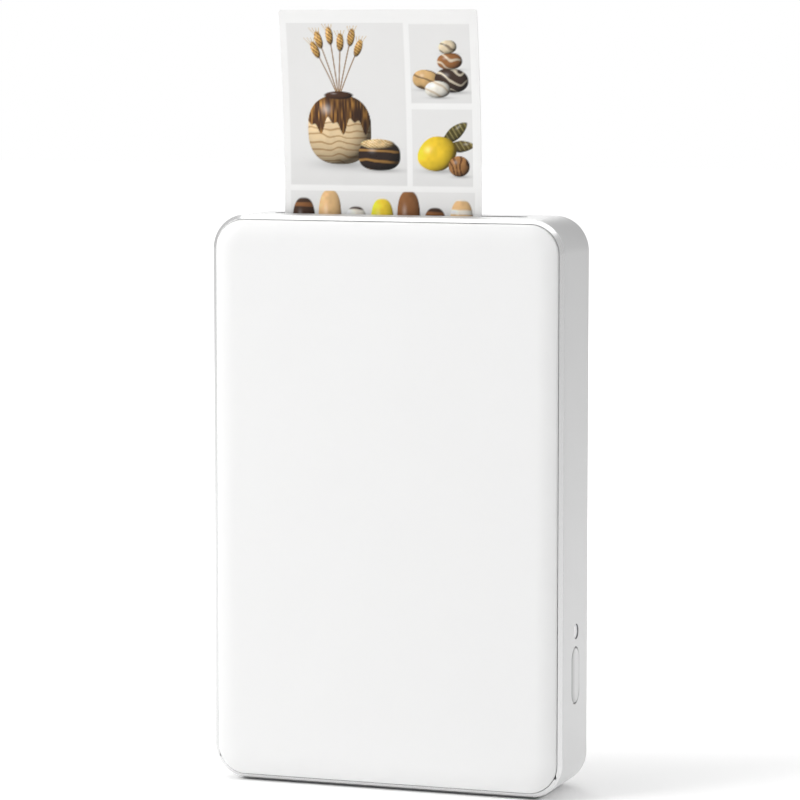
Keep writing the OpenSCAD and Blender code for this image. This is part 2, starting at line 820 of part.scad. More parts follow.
module bushes(centre) {
    color("white") {
        tube([plate_left_x[0] - 0.4, plate_left_x[1]], centre, bush_r, shaft_r + fit);
        tube([plate_right_x[0], plate_right_x[1] + 0.4], centre, bush_r, shaft_r + fit);
    }
}

module platen_shaft() roller_shaft(platen_c);
module platen_rubber() color("darkslategray") tube(bay_x + [-0.4, 0.4], platen_c, platen_r, shaft_r);
module platen_gear() color("white") gear(near_gears_x, platen_c, platen_n, platen_turn, shaft_r);
module platen_clip() retaining_clip(platen_c);
module platen_bushes() bushes(platen_c);

module pickup_shaft() roller_shaft(pickup_c);
module pickup_tyres() color("darkslategray") for (x = tyre_x) tube(x, pickup_c, pickup_r, shaft_r);
module pickup_gear() color("white") gear(near_gears_x, pickup_c, pickup_n, pickup_turn, shaft_r);
module pickup_clip() retaining_clip(pickup_c);
module pickup_bushes() bushes(pickup_c);

module idler_gear() color("white") gear(near_gears_x, idler_c, idler_n, idler_turn, post_r + fit);

// Large wheel with spoke windows, driven by the motor, and the small gear that it turns with
module reduction_gear() {
    rim_r = gear_module * wheel_n / 2 - 1.6;
    color("white") difference() {
        union() {
            gear(near_gears_x + [0, 0.8], wheel_c, small_n, small_turn, post_r + fit);
            gear(far_gears_x, wheel_c, wheel_n, wheel_turn, post_r + fit);
        }
        across(far_gears_x + [-0.2, 1]) translate(wheel_c) for (i = [0 : 4]) rotate(72 * i)
            translate([(rim_r + 2.6) / 2, 0]) circle(1.25);
    }
}

module gear_posts() {
    color("silver") {
        across([plate_right_x[0], near_gears_x[1] + 1.2]) translate(idler_c) circle(post_r);
        across([plate_right_x[0], bracket_x[0]]) translate(wheel_c) circle(post_r);
    }
}

module gear_clips() {
    color("black") tube([near_gears_x[1] + 0.1, near_gears_x[1] + 0.6], idler_c, 1.9, post_r);
}

// ---- Motor ----

module motor_can() {
    color("silver") difference() {
        union() {
            across(motor_x) translate(motor_c) circle(motor_r);
            across(bracket_x) translate(motor_c) circle(2.5);
            across([motor_x[1], motor_x[1] + 0.6]) translate(motor_c) circle(3);
        }
        across([bracket_x[0] - 1, bracket_x[0] + 3]) translate(motor_c) circle(0.8);
    }
}

module motor_shaft() {
    color("silver") across([far_gears_x[0] - 0.4, bracket_x[0] + 2.6]) translate(motor_c) circle(0.75);
}

module motor_pinion() color("gold") difference() {
    across([far_gears_x[0] - 0.2, far_gears_x[1] + 0.1]) translate(motor_c)
        gear_outline(pinion_n, pinion_turn);
    across(far_gears_x + [-1, 1]) translate(motor_c) circle(0.75);
}

// Plate that holds the motor out from the side plate on three standoffs
module motor_bracket() {
    color("silver") difference() {
        union() {
            across(bracket_x) polygon([
                [-6.8, 90.4], [-4.6, 88.4], [8.2, 88.4], [9.4, 89.6],
                [9, 99], [4, 109], [-2, 117.4], [-6.8, 117.4]
            ]);
            for (p = standoffs) across([plate_right_x[1], bracket_x[0]]) translate(p) circle(1.5);
        }
        across(bracket_x + [-1, 1]) {
            translate(motor_c) circle(2.5);
            for (p = standoffs) translate(p) circle(0.8);
        }
        for (p = standoffs) across([plate_right_x[1] - 1, bracket_x[1] + 1]) translate(p) circle(0.8);
    }
}

module motor_screws() {
    color("dimgray") for (p = standoffs) {
        across([plate_right_x[0], bracket_x[1]]) translate(p) circle(0.8);
        across([bracket_x[1], bracket_x[1] + 0.9]) translate(p) circle(1.5);
    }
}

// ---- Power and electronics ----

// Pouch cell with rounded long edges
module battery() {
    y = [floor_y[1], 7.2];
    color("slategray") {
        translate([battery_x[0], (y[0] + y[1]) / 2, battery_z[0]])
            rotate([90, 0, 90]) linear_extrude(battery_x[1] - battery_x[0]) cell_outline(y[1] - y[0]);
    }
}

// Outline of the cell in depth and height, round at both ends of its height
module cell_outline(t) {
    l = battery_z[1] - battery_z[0];
    translate([0, l / 2]) rotate(90) rounded(l, t, 1.6);
}

module battery_lead() {
    lead_x = [-24, -20];
    color("tomato") {
        block(lead_x, [5, 5.6], [39.4, battery_z[0]]);
        block(lead_x + [-0.6, 0.6], [board_y[1], 5.9], [36, 39.4]);
    }
}

module main_board() {
    color("seagreen") difference() {
        slab(board_y) translate([0, 23]) rounded(80, 38, 1.5);
        mirrored() slab(board_y + [-1, 1]) translate(corner_boss) circle(boss_r + 0.5);
        at_board_screws() slab(board_y + [-1, 1]) circle(1.1);
        // Notch at the right for the power switch's legs
        block([39, 41], board_y + [-1, 1], [21, 24]);
    }
}

// Processor, memory, motor driver, coil and the row of small parts, as separate solids
module board_chips() {
    color("black") {
        block([-10, -1], [1.6, board_y[0]], [20, 29]);
        block([4, 10], [1.8, board_y[0]], [22, 27]);
        block([14, 19], [1.7, board_y[0]], [17, 22]);
        block([-24, -19], [1.2, board_y[0]], [18, 23]);
        for (i = [0 : 5]) block(about(22.6 + 2.2 * i, 0.6), [2, board_y[0]], [26, 26.8]);
        for (i = [0 : 3]) block(about(-8.4 + 2.2 * i, 0.6), [2, board_y[0]], [31.6, 32.4]);
    }
}

module shield_can() {
    x = [6, 26];
    z = [8, 30];
    y = [board_y[1], 5.6];
    color("lightgray") difference() {
        block(x, y, z);
        block(x + [0.2, -0.2], y + [-1, -0.2], z + [0.2, -0.2]);
    }
}

module ribbon_connector() {
    color("ivory") difference() {
        block(ribbon_x + [-0.6, 0.6], [0.9, board_y[0]], [28.6, 31.4]);
        block(ribbon_x + [-0.05, 0.05], [0, 2.2], [29.9, 30.15]);
    }
}

// Flat cable from the board, up beside the paper bay and through the side plate to the head
module head_ribbon() {
    color("burlywood") {
        block(ribbon_x, [ribbon_y[1], 2.1], [29.93, 30.13]);
        block(ribbon_x, ribbon_y, [29.93, 127.2]);
        block([ribbon_x[1], head_x[0] + 6], ribbon_y, [123.6, 127.2]);
    }
}

module usb_socket() {
    color("silver") difference() {
        translate([socket_x, socket_y, 1.7]) linear_extrude(7.4) pill(socket_w, socket_t);
        translate([socket_x, socket_y, 1]) linear_extrude(7) difference() {
            pill(socket_w - 0.6, socket_t - 0.6);
            square([6.6, 0.7], center = true);
        }
    }
}

module power_switch() {
    color("dimgray") difference() {
        block([37.2, 40.6], [-1.7, board_y[0]], about(button_z, 2.3));
        across([39, 41]) translate([button_y, button_z]) circle(0.9);
    }
}

module switch_plunger() {
    color("black") across([39 + button_travel + 0.1, 41.7]) translate([button_y, button_z]) circle(0.8);
}

// Pill-shaped cap with a dished face, flush with the band, with a flange behind the wall
module power_button() {
    cap_gap = 0.2;
    cap_l = button_l - 2 * cap_gap;
    cap_w = button_w - 2 * cap_gap;
    bevel = 0.2;
    dish_inset = 1;
    dish_depth = 0.3;
    dish_half = (cap_w - dish_inset) / 2;
    dish_r = (dish_half * dish_half + dish_depth * dish_depth) / (2 * dish_depth);
    color("silver") {
        difference() {
            union() {
                across([wall_x - 0.05, side_x - bevel]) translate([button_y, button_z]) rotate(90)
                    pill(cap_l, cap_w);
                across([side_x - bevel, side_x]) translate([button_y, button_z]) rotate(90)
                    pill(cap_l - 2 * bevel, cap_w - 2 * bevel);
            }
            intersection() {
                translate([side_x - dish_depth + dish_r, button_y, 0])
                    cylinder(h = case_h, r = dish_r, $fn = 180);
                across([side_x - 1, side_x + 1]) translate([button_y, button_z]) rotate(90)
                    pill(cap_l - dish_inset, cap_w - dish_inset);
            }
        }
        across([wall_x - 1, wall_x - 0.05]) translate([button_y, button_z]) rotate(90)
            pill(button_l + 1.4, button_w + 1.4);
        across([41.7, wall_x - 1]) translate([button_y, button_z]) circle(1.2);
    }
}

module status_led() {
    color("white") {
        block([37.6, 39.2], [-0.2, board_y[0]], about(light_z, 1.1));
        across([39.2, 39.8]) translate([light_y, light_z]) circle(0.7);
    }
}

module light_pipe() {
    color("white") {
        across([wall_x, side_x - 0.3]) translate([light_y, light_z]) circle(light_r);
        across([wall_x - 0.6, wall_x]) translate([light_y, light_z]) circle(light_r + 0.5);
        across([40, wall_x - 0.6]) translate([light_y, light_z]) circle(1.1);
    }
}

// Switch that tells when the front cover is shut
module cover_switch() {
    color("black") {
        block([32, 36], [-6.2, floor_y[0]], [60, 66]);
        block([33.4, 34.6], [-7.1, -6.2], [62, 64]);
    }
}

module paper_sensor() {
    color("black") difference() {
        union() {
            block(sensor_x, [0.9, 3.4], [119.1, 121.3]);
            block(sensor_x + [-1.5, 1.5], [floor_y[1], floor_y[1] + 0.5], [118.4, 121.9]);
        }
        for (z = [119.7, 120.7])
            slab([0, 1.3]) translate([(sensor_x[0] + sensor_x[1]) / 2, z]) circle(0.35);
    }
}

// ---- Paper ----

module sheet_outline(low_z) {
    translate([sheet_x, low_z + sheet_l / 2]) rounded(sheet_w, sheet_l, sheet_corner);
}

module paper_stack() {
    color("white") slab(stack_y) sheet_outline(stack_z);
}

module print_sheet() {
    color("snow") slab([-sheet_y, sheet_y]) sheet_outline(sheet_low_z);
}

// ---- Screws ----

module chassis_screws() {
    color("dimgray") difference() {
        union() {
            at_screws([floor_y[0], boss_y[1] - 1.4]) circle(screw_r);
            at_screws([floor_y[0] - 0.9, floor_y[0]]) circle(1.7);
        }
        at_screws([floor_y[0] - 2, floor_y[0] - 0.4]) {
            square([2, 0.4], center = true);
            square([0.4, 2], center = true);
        }
    }
}

mid_frame();
front_cover();
cover_liner();
press_plate();
press_springs();
cover_magnets();
catch_plates();
hinge_brackets();
hinge_pins();
rear_cover();
chassis();
paper_tray();
side_plate_left();
side_plate_right();
exit_guide();
separator_pad();
print_head();
heat_sink();
head_bracket();
head_springs();
head_pin();
spring_bar();
platen_shaft();
platen_rubber();
platen_gear();
platen_clip();
platen_bushes();
pickup_shaft();
pickup_tyres();
pickup_gear();
pickup_clip();
pickup_bushes();
idler_gear();
reduction_gear();
gear_posts();
gear_clips();
motor_can();
motor_shaft();
motor_pinion();
motor_bracket();
motor_screws();
battery();
battery_lead();
main_board();
board_chips();
shield_can();
ribbon_connector();
head_ribbon();
usb_socket();
power_switch();
switch_plunger();
power_button();
status_led();
light_pipe();
cover_switch();
paper_sensor();
paper_stack();
print_sheet();
chassis_screws();
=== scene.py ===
import json
import math

import bpy
import numpy as np
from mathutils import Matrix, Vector


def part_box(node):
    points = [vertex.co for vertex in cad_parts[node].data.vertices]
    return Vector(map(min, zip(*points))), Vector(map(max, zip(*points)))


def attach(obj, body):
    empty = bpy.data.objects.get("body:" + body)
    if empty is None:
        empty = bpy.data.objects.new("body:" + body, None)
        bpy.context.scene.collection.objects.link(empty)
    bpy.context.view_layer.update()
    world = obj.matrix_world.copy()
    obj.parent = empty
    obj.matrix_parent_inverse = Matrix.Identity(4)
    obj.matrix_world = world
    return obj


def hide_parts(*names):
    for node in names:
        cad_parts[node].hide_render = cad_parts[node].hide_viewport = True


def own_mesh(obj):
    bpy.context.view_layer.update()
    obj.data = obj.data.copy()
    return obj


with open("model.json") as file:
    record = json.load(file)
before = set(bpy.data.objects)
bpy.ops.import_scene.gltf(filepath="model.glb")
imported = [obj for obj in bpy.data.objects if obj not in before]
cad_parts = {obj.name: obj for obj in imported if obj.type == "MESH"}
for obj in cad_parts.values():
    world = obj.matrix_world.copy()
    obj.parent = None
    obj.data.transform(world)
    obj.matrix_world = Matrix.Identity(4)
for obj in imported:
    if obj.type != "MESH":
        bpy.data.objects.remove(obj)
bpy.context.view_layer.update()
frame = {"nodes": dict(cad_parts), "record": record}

# A pocket photo printer on its short end: white pillowed covers, a silver band with a bright
# sloping ring, and a printed sheet coming out of the slot. Sizes are millimetres, and only the
# places and sizes of the lamps and the camera are metres.
MM = 0.001

# Case, read from the frame
case_low, case_high = (np.array(corner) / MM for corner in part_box("mid_frame"))
case_w, case_h = 2 * case_high[0], case_high[2]
side_x, mid_z = case_w / 2, case_h / 2
lip_y, rear_y = case_low[1], case_high[1]
front_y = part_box("front_cover")[0].y / MM
back_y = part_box("rear_cover")[1].y / MM

# Case, as the construction has it
corner_r = 8.5
ring_w = 1.16
seam = 0.12
wall = 1.6
skin = 1.5
crown_w = 5.0
cover_edge, edge_proud = 0.66, 0.45
band_y = lip_y + ring_w
top_z = case_h - wall
inner_x = side_x - wall
foot_line = 0.36

# Rebate behind the ring, which is deeper below a height, and the cover's hinge
ledge_y, relief_y, relief_z = -9.3, -7.5, 10.0
hinge_x, hinge_at = 28.0, (0, -10.5, 6.0)
knuckle_r, knuckle_half, hinge_half = 1.25, 3.0, 5.7
pin_hole_r, fork_hole_r = 0.55, 1.15
swing_r, swing_inset = 0.95, 0.29

# Inside the band: screw bosses, posts for the catches, and ribs
boss_span = (1.4, 8.6)
corner_boss_r, corner_boss_x, corner_boss_z = 2.8, 39.6, 5.4
middle_boss_r, middle_boss_x, middle_boss_z = 2.4, 41.4, 70
post_x, post_y, post_z, post_round = (36, 44), (-8.9, -5.5), (127.5, 134.5), 0.4
rib_x, rib_y, rib_round = (42.5, 44), (-6, 8.6), 0.2
rib_heights, rib_thickness = (48, 92), 1.2

# Slot, socket, button and light
slot_size, mouth_size = (65.0, 3.2), (62.6, 1.3)
slot_rim, slot_rim_depth = 0.2, 1.0
socket_size, socket_at = (9.4, 3.6), (-20.0, 1.0, 0)
button_size, button_gap, button_at = (14.0, 6.4), 0.2, (0, 0.3, 28.75)
light_hole_r, light_r, light_at = 1.85, 1.8, (0, 0.7, 39.4)

# Which coordinate takes a shape's first side, its second side and its depth
FACING_FRONT = (0, 2, 1)
FACING_UP = (0, 1, 2)
FACING_SIDE = (2, 1, 0)
ALONG_HINGE = (1, 2, 0)

# Edges that turn by more than this stay sharp
sharp_angle = math.radians(35)


# ---- Surfaces ----

def rounded_path(width, height, radius, steps, stops=()):
    """Round the outline of a rectangle with round corners, once: the centre of curvature and the outward
    direction at each step. On a corner the centre stays and the direction turns through a quarter; on a
    straight side the direction stays and the centre slides. Stops add steps on the two upright sides."""
    centres, ways = [], []
    reach = np.array([width / 2 - radius, height / 2 - radius])
    for corner, (sx, sy) in enumerate([(1, 1), (-1, 1), (-1, -1), (1, -1)]):
        turn = (corner + np.linspace(0, 1, steps + 1)) * math.pi / 2
        ways.append(np.column_stack([np.cos(turn), np.sin(turn)]))
        centres.append(np.tile(reach * (sx, sy), (steps + 1, 1)))
        if corner % 2 and len(stops):
            rising = sx > 0
            heights = np.sort(stops)[:: 1 if rising else -1]
            centres.append(np.column_stack([np.full(len(heights), sx * reach[0]), heights]))
            ways.append(np.tile([float(sx), 0.0], (len(heights), 1)))
    return np.vstack(centres), np.vstack(ways)


def arch_path(width, height, radius, foot, steps):
    """The upper part of that outline, from the foot of the right side over the top to the left one."""
    centres, ways = rounded_path(width, height, radius, steps)
    upper = slice(0, 2 * (steps + 1))
    feet = np.array([[width / 2 - radius, foot], [radius - width / 2, foot]])
    sides = np.array([[1.0, 0.0], [-1.0, 0.0]])
    return (np.vstack([feet[:1], centres[upper], feet[1:]]),
            np.vstack([sides[:1], ways[upper], sides[1:]]))


def softened(corners, steps=4):
    """A line of [inset, depth, radius] corners with each corner that has a radius turned into an arc: the
    arc's centre lies on the corner's bisector, and its points swing evenly from one side to the other."""
    corners = np.array([list(c) + [0.0] * (3 - len(c)) for c in corners], float)
    line = []
    for before, corner, after in zip(np.roll(corners, 1, 0), corners, np.roll(corners, -1, 0)):
        at, radius = corner[:2], corner[2]
        if radius == 0:
            line.append(at[None])
            continue
        one, two = ((p[:2] - at) / np.linalg.norm(p[:2] - at) for p in (before, after))
        half = math.acos(np.clip(one @ two, -1, 1)) / 2
        centre = at + (one + two) / np.linalg.norm(one + two) * radius / math.sin(half)
        start, stop = (at + way * radius / math.tan(half) - centre for way in (one, two))
        sweep, share = math.pi - 2 * half, np.linspace(0, 1, steps + 1)[:, None]
        swing = np.sin((1 - share) * sweep) * start + np.sin(share * sweep) * stop
        line.append(centre + swing / math.sin(sweep))
    return np.vstack(line)


def swept(path, profile, radius, axes, origin=(0, 0, 0)):
    """A profile of [inset, depth] carried round a path: each point lies radius minus inset out from the
    path's centre of curvature, along the outward direction, and at its depth across the path's plane."""
    centres, ways = path
    reach = radius - profile[:, 0]
    flat = centres[:, None, :] + ways[:, None, :] * reach[None, :, None]
    depth = np.broadcast_to(profile[:, 1], reach.shape)[None, :].repeat(len(centres), 0)
    points = np.empty(flat.shape[:2] + (3,))
    points[..., axes[0]], points[..., axes[1]], points[..., axes[2]] = flat[..., 0], flat[..., 1], depth
    return points + np.array(origin, float)


def surface(name, points, closed=(True, True)):
    """A grid of points as a mesh: quads between neighbours, joined round where a direction is closed, and
    the open ends of the other direction filled, so that the whole is one closed skin facing outwards."""
    rows, columns = points.shape[:2]
    index = np.arange(rows * columns).reshape(rows, columns)
    row = np.arange(rows if closed[0] else rows - 1)[:, None]
    column = np.arange(columns if closed[1] else columns - 1)[None, :]
    next_row, next_column = (row + 1) % rows, (column + 1) % columns
    quads = np.stack([index[row, column], index[next_row, column],
                      index[next_row, next_column], index[row, next_column]], -1).reshape(-1, 4)
    faces = quads.tolist()
    if not closed[1]:
        faces += [index[:, 0].tolist(), index[::-1, -1].tolist()]
    if not closed[0]:
        faces += [index[0, ::-1].tolist(), index[-1].tolist()]
    mesh = bpy.data.meshes.new(name)
    mesh.from_pydata((points.reshape(-1, 3) * MM).tolist(), [], faces)
    piece = bpy.data.objects.new(name, mesh)
    bpy.context.scene.collection.objects.link(piece)
    turn_outwards(mesh)
    return piece


def turn_outwards(mesh):
    """Turns every face round if the skin encloses a negative volume."""
    mesh.calc_loop_triangles()
    corners = np.zeros(len(mesh.loop_triangles) * 3, np.int32)
    mesh.loop_triangles.foreach_get("vertices", corners)
    a, b, c = vertices_of(mesh)[corners.reshape(-1, 3)].transpose(1, 0, 2)
    if (a * np.cross(b, c)).sum() < 0:
        mesh.flip_normals()


def vertices_of(mesh):
    """The places of a mesh's vertices, one row each."""
    places = np.zeros(len(mesh.vertices) * 3)
    mesh.vertices.foreach_get("co", places)
    return places.reshape(-1, 3)


def combined(piece, others, operation):
    """The piece with other closed pieces fused on or cut away, as one clean mesh."""
    for other in others:
        step = piece.modifiers.new(operation.lower(), "BOOLEAN")
        step.operation, step.object, step.solver = operation, other, "EXACT"
    graph = bpy.context.evaluated_depsgraph_get()
    mesh = bpy.data.meshes.new_from_object(piece.evaluated_get(graph))
    piece.modifiers.clear()
    piece.data = mesh
    for other in others:
        bpy.data.objects.remove(other)
    return piece


def fused(piece, *others):
    """The piece and the others as one skin."""
    return combined(piece, others, "UNION")


def cut(piece, *others):
    """The piece with the others cut away."""
    return combined(piece, others, "DIFFERENCE")


def carried(name, size, radius, profile, axes, origin=(0, 0, 0), steps=24, closed=(True, False)):
    """A profile carried round the outline of a rectangle with round corners."""
    return surface(name, swept(rounded_path(*size, radius, steps), profile, radius, axes, origin), closed)


def pill(name, size, profile, axes, origin=(0, 0, 0), steps=12):
    """A profile carried round a shape with round ends, with its own two ends filled."""
    return carried(name, size, size[1] / 2, profile, axes, origin, steps)


def disc(name, radius, profile, axes, origin):
    """A profile turned round an axis, with its own two ends filled."""
    return pill(name, (2 * radius, 2 * radius), profile, axes, origin, 16)


def straight(span, soft=0.0, steps=4):
    """Side of a bar between two places, with its two edges softened."""
    if not soft:
        return np.array([[0, span[0]], [0, span[1]]], float)
    low, high = span
    return softened([[2 * soft, low], [0, low, soft], [0, high, soft], [2 * soft, high]], steps)


def on_side(side, start, stop):
    """A span along x, mirrored to the left where the side is -1, with its lower end first."""
    return sorted((side * start, side * stop))


def block(name, x, y, z, radius):
    """A box with its four edges along y rounded, and softened round its two ends."""
    middle = ((x[0] + x[1]) / 2, 0, (z[0] + z[1]) / 2)
    size = (x[1] - x[0], z[1] - z[0])
    return carried(name, size, radius, straight(y, radius / 2, 2), FACING_FRONT, middle, 3)


def pill_plug(name, size, inner, outer, axes, origin=(0, 0, 0), flare=0.12):
    """A plug with round ends for cutting a hole, which widens at 45 degrees where it comes out."""
    way = 1 if outer > inner else -1
    past = 0.5
    profile = np.array([[0, inner], [0, outer - way * flare], [-flare - past, outer + way * past]])
    return pill(name, size, profile, axes, origin)


def crown(inset, height):
    """Height of a cover's rounded edge at a distance in from its rim, along one arc that ends level."""
    arc_r = (crown_w ** 2 + height ** 2) / (2 * height)
    return height - arc_r + np.sqrt(arc_r ** 2 - (crown_w - inset) ** 2)


def dressed(piece, material, body, replaced=()):
    """Gives a finished piece its material, its body and the nodes that it stands for."""
    piece.data.materials.clear()
    for one in np.atleast_1d(material):
        piece.data.materials.append(one)
    piece.data.polygons.foreach_set("use_smooth", np.ones(len(piece.data.polygons), bool))
    piece.data.set_sharp_from_angle(angle=sharp_angle)
    piece.data.update()
    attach(piece, body)
    if replaced:
        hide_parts(*replaced)
    return piece


# ---- Shells ----

def cover_shell():
    """Front cover: a crown arc from the level middle down to a rounded edge that stands proud of the ring,
    and back along its wall, carried round the outline; then the skirt and the knuckles."""
    inset = ring_w + seam
    size, radius, middle = (case_w - 2 * inset, case_h - 2 * inset), corner_r - inset, (0, 0, mid_z)
    edge_y, rim_back, rim_w, inside_w = lip_y - edge_proud, lip_y + cover_edge, 1.4, 2.4
    slope = np.linspace(crown_w, 0.5, 18)
    rim = np.column_stack([slope, edge_y - crown(slope, edge_y - front_y)])
    edge = softened([rim[-1], [0, edge_y, 0.6], [0, rim_back, 0.12], [rim_w, rim_back, 0.05],
                     [inside_w, front_y + skin]], 8)
    shell = carried("front_cover_shell", size, radius, np.vstack([rim[:-1], edge]), FACING_FRONT, middle)
    skirt_out, skirt_in, skirt_front, skirt_back = 0.1, 1.3, lip_y + 0.3, ledge_y - 0.1
    skirt_profile = softened([[skirt_out, skirt_front], [skirt_in, skirt_front],
                              [skirt_in, skirt_back, 0.2], [skirt_out, skirt_back, 0.2]])
    skirt_path = arch_path(*size, radius, relief_z - mid_z, 24)
    skirt = surface("skirt", swept(skirt_path, skirt_profile, radius, FACING_FRONT, middle), (False, True))
    knuckles, clearances = [], []
    for side in (-1, 1):
        span = on_side(side, hinge_x - knuckle_half, hinge_x + knuckle_half)
        knuckles.append(disc("knuckle", knuckle_r, straight(span, 0.1), ALONG_HINGE, hinge_at))
        for start, stop, hole_r in ((-hinge_half, hinge_half, pin_hole_r),
                                    (-hinge_half, -knuckle_half, fork_hole_r),
                                    (knuckle_half, hinge_half, fork_hole_r)):
            span = on_side(side, hinge_x + start, hinge_x + stop)
            clearances.append(disc("clearance", hole_r, straight(span), ALONG_HINGE, hinge_at))
    return cut(fused(shell, skirt, *knuckles), *clearances)


def side_band():
    """Side band and ring: one closed section, with the sloping ring at its front and a rounded rear edge,
    carried round the case. Near the foot the rebate behind the ring runs deeper. Bosses, catch posts and
    ribs are fused on inside. The slot, socket, button and light holes are cut, and so is a relief on each
    side, where the open cover turns."""
    section = [[0, rear_y, 0.4], [0, band_y, 0.6], [foot_line, band_y - foot_line], [ring_w, lip_y, 0.06],
               [ring_w, ledge_y], [wall, ledge_y], [wall, rear_y, 0.1]]
    profile = softened(section, 6)
    stops = np.array([relief_z - 0.01, relief_z + 0.01]) - mid_z
    path = rounded_path(case_w, case_h, corner_r, 24, stops)
    points = swept(path, profile, corner_r, FACING_FRONT, (0, 0, mid_z))
    low = points[:, 0, 2] < relief_z
    ledge = np.isclose(profile[:, 1], ledge_y)
    points[np.ix_(low, ledge, [1])] = relief_y
    band = surface("side_band", points)
    inner = []
    for side in (-1, 1):
        for radius, x, z in ((corner_boss_r, corner_boss_x, corner_boss_z),
                             (corner_boss_r, corner_boss_x, case_h - corner_boss_z),
                             (middle_boss_r, middle_boss_x, middle_boss_z)):
            inner.append(disc("boss", radius, straight(boss_span), FACING_FRONT, (x * side, 0, z)))
        inner.append(block("post", on_side(side, *post_x), post_y, post_z, post_round))
        for z in rib_heights:
            inner.append(block("rib", on_side(side, *rib_x), rib_y, (z, z + rib_thickness), rib_round))
    within = 1
    light_size = (2 * light_hole_r, 2 * light_hole_r)
    holes = [
        pill_plug("slot", slot_size, top_z - within, case_h, FACING_UP, flare=0.03),
        pill_plug("socket", socket_size, wall + within, 0, FACING_UP, socket_at, 0.2),
        pill_plug("button", button_size, inner_x - within, side_x, FACING_SIDE, button_at),
        pill_plug("light", light_size, inner_x - within, side_x, FACING_SIDE, light_at, 0.03),
    ]
    for side in (-1, 1):
        span = on_side(side, inner_x - within, side_x - ring_w - swing_inset)
        holes.append(disc("swing_relief", swing_r, straight(span), ALONG_HINGE, hinge_at))
    return cut(fused(band, *inner), *holes)


def mark_ring(piece):
    """Gives the second material to the faces of the sloping ring, which lie forward of the band and face
    halfway between forwards and outwards, the third one, a matte black as painted shade, to the slot's
    walls, and the fourth one, a grey as painted shade, to the walls of the light's hole and to the lowest
    edge, which faces down, where it paints a contact shadow."""
    count = len(piece.data.polygons)
    centre, normal = np.zeros(count * 3), np.zeros(count * 3)
    piece.data.polygons.foreach_get("center", centre)
    piece.data.polygons.foreach_get("normal", normal)
    (x, y, z), (nx, ny, nz) = centre.reshape(-1, 3).T / MM, normal.reshape(-1, 3).T
    ring_slope, outer_skin, underside, margin = -0.68, 0.8, -0.2, 0.1
    ring = (y < band_y) & (ny < ring_slope)
    in_slot = (np.abs(x) < slot_size[0] / 2 + margin) & (np.abs(y) < slot_size[1] / 2 + margin)
    in_light = (x > inner_x) & (np.hypot(z - light_at[2], y - light_at[1]) < light_hole_r + margin)
    kind = ring.astype(np.int32)
    # Painted shade: the slot's walls take the matte black
    kind[in_slot & (z > top_z) & (nz < outer_skin)] = 2
    # Painted shade: grey on the light hole's walls, and a painted contact shadow on the lowest edge
    kind[(in_light & (nx < outer_skin)) | ((z < foot_line) & (nz < underside))] = 3
    piece.data.polygons.foreach_set("material_index", kind)


def rear_shell():
    """Rear cover: the same crown arc turned to the back, a plain rim, and a lip that sits in the band."""
    inset, rim_h, rim_w, inside_w = 0.15, 0.25, 2.8, 4
    size, radius, middle = (case_w - 2 * inset, case_h - 2 * inset), corner_r - inset, (0, 0, mid_z)
    slope = np.linspace(crown_w, 0.4, 18)
    rise = back_y - rear_y - rim_h
    rim = np.column_stack([slope, rear_y + rim_h + crown(slope, rise)])
    edge = softened([rim[-1], [0, rear_y + rim_h, 0.18], [0, rear_y, 0.05], [rim_w, rear_y],
                     [inside_w, back_y - skin]], 5)
    shell = carried("rear_cover_shell", size, radius, np.vstack([rim[:-1], edge]), FACING_FRONT, middle)
    lip_out, lip_in, lip_front, lip_back = 1.55, 2.65, rear_y - 1.5, rear_y + 0.2
    lip_profile = softened([[lip_out, lip_front, 0.2], [lip_in, lip_front, 0.2], [lip_in, lip_back],
                            [lip_out, lip_back]])
    lip = carried("lip", size, radius, lip_profile, FACING_FRONT, middle, closed=(True, True))
    return fused(shell, lip)


def slot_guide():
    """Dark insert in the slot: a plug with round ends and a flange below the wall, with a thin rim round a
    sunk floor, and the sheet's mouth cut through and flared at its lower end."""
    play, flange_h, plug_foot = 0.1, 1.2, top_z - 0.5
    top, sunk_z, flange_z = case_h - 0.05, case_h - slot_rim_depth, top_z - flange_h
    collar = softened([[1.0, top], [0, top, 0.06], [0, plug_foot], [1.2, plug_foot]])
    plug = pill("slot_guide", (slot_size[0] - play, slot_size[1] - play), collar, FACING_UP)
    below = softened([[1, top_z], [0, top_z, 0.15], [0, flange_z, 0.15], [1, flange_z]])
    flange = pill("flange", (slot_size[0] + 3, slot_size[1] + 3.4), below, FACING_UP)
    sunk_size = (slot_size[0] - 2 * slot_rim, slot_size[1] - 2 * slot_rim)
    sunk = pill_plug("sunk", sunk_size, sunk_z, top, FACING_UP, flare=0.05)
    mouth = pill_plug("mouth", mouth_size, top_z - 3, sunk_z, FACING_UP, flare=0.25)
    funnel = pill_plug("funnel", mouth_size, case_h, flange_z, FACING_UP, flare=0.8)
    return cut(fused(plug, flange), sunk, mouth, funnel)


def button_cap():
    """Power button: a pill-shaped cap with a round rim and a face dished along a parabola, a flange behind
    the wall and a round stem."""
    cap_size = (button_size[0] - 2 * button_gap, button_size[1] - 2 * button_gap)
    flange_size = (button_size[0] + 1.4, button_size[1] + 1.4)
    half, dish_from, dish_depth, face_x = cap_size[1] / 2, 0.5, 0.26, side_x - 0.04
    dish = np.linspace(half - 0.05, dish_from, 14)
    across = (dish - dish_from) / (half - dish_from)
    face = np.column_stack([dish, face_x - dish_depth * across * (2 - across)])
    rim = softened([face[-1], [0.25, side_x, 0.15], [0, side_x - 0.25, 0.15], [0, inner_x - 0.05]])
    cap = pill("power_button_cap", cap_size, np.vstack([face[:-1], rim]), FACING_SIDE, button_at, 14)
    flange = pill("flange", flange_size, straight((inner_x - 1, inner_x - 0.04)), FACING_SIDE, button_at)
    stem_r, stem_span = 1.2, (41.7, inner_x - 0.9)
    return fused(cap, flange, disc("stem", stem_r, straight(stem_span), FACING_SIDE, button_at))


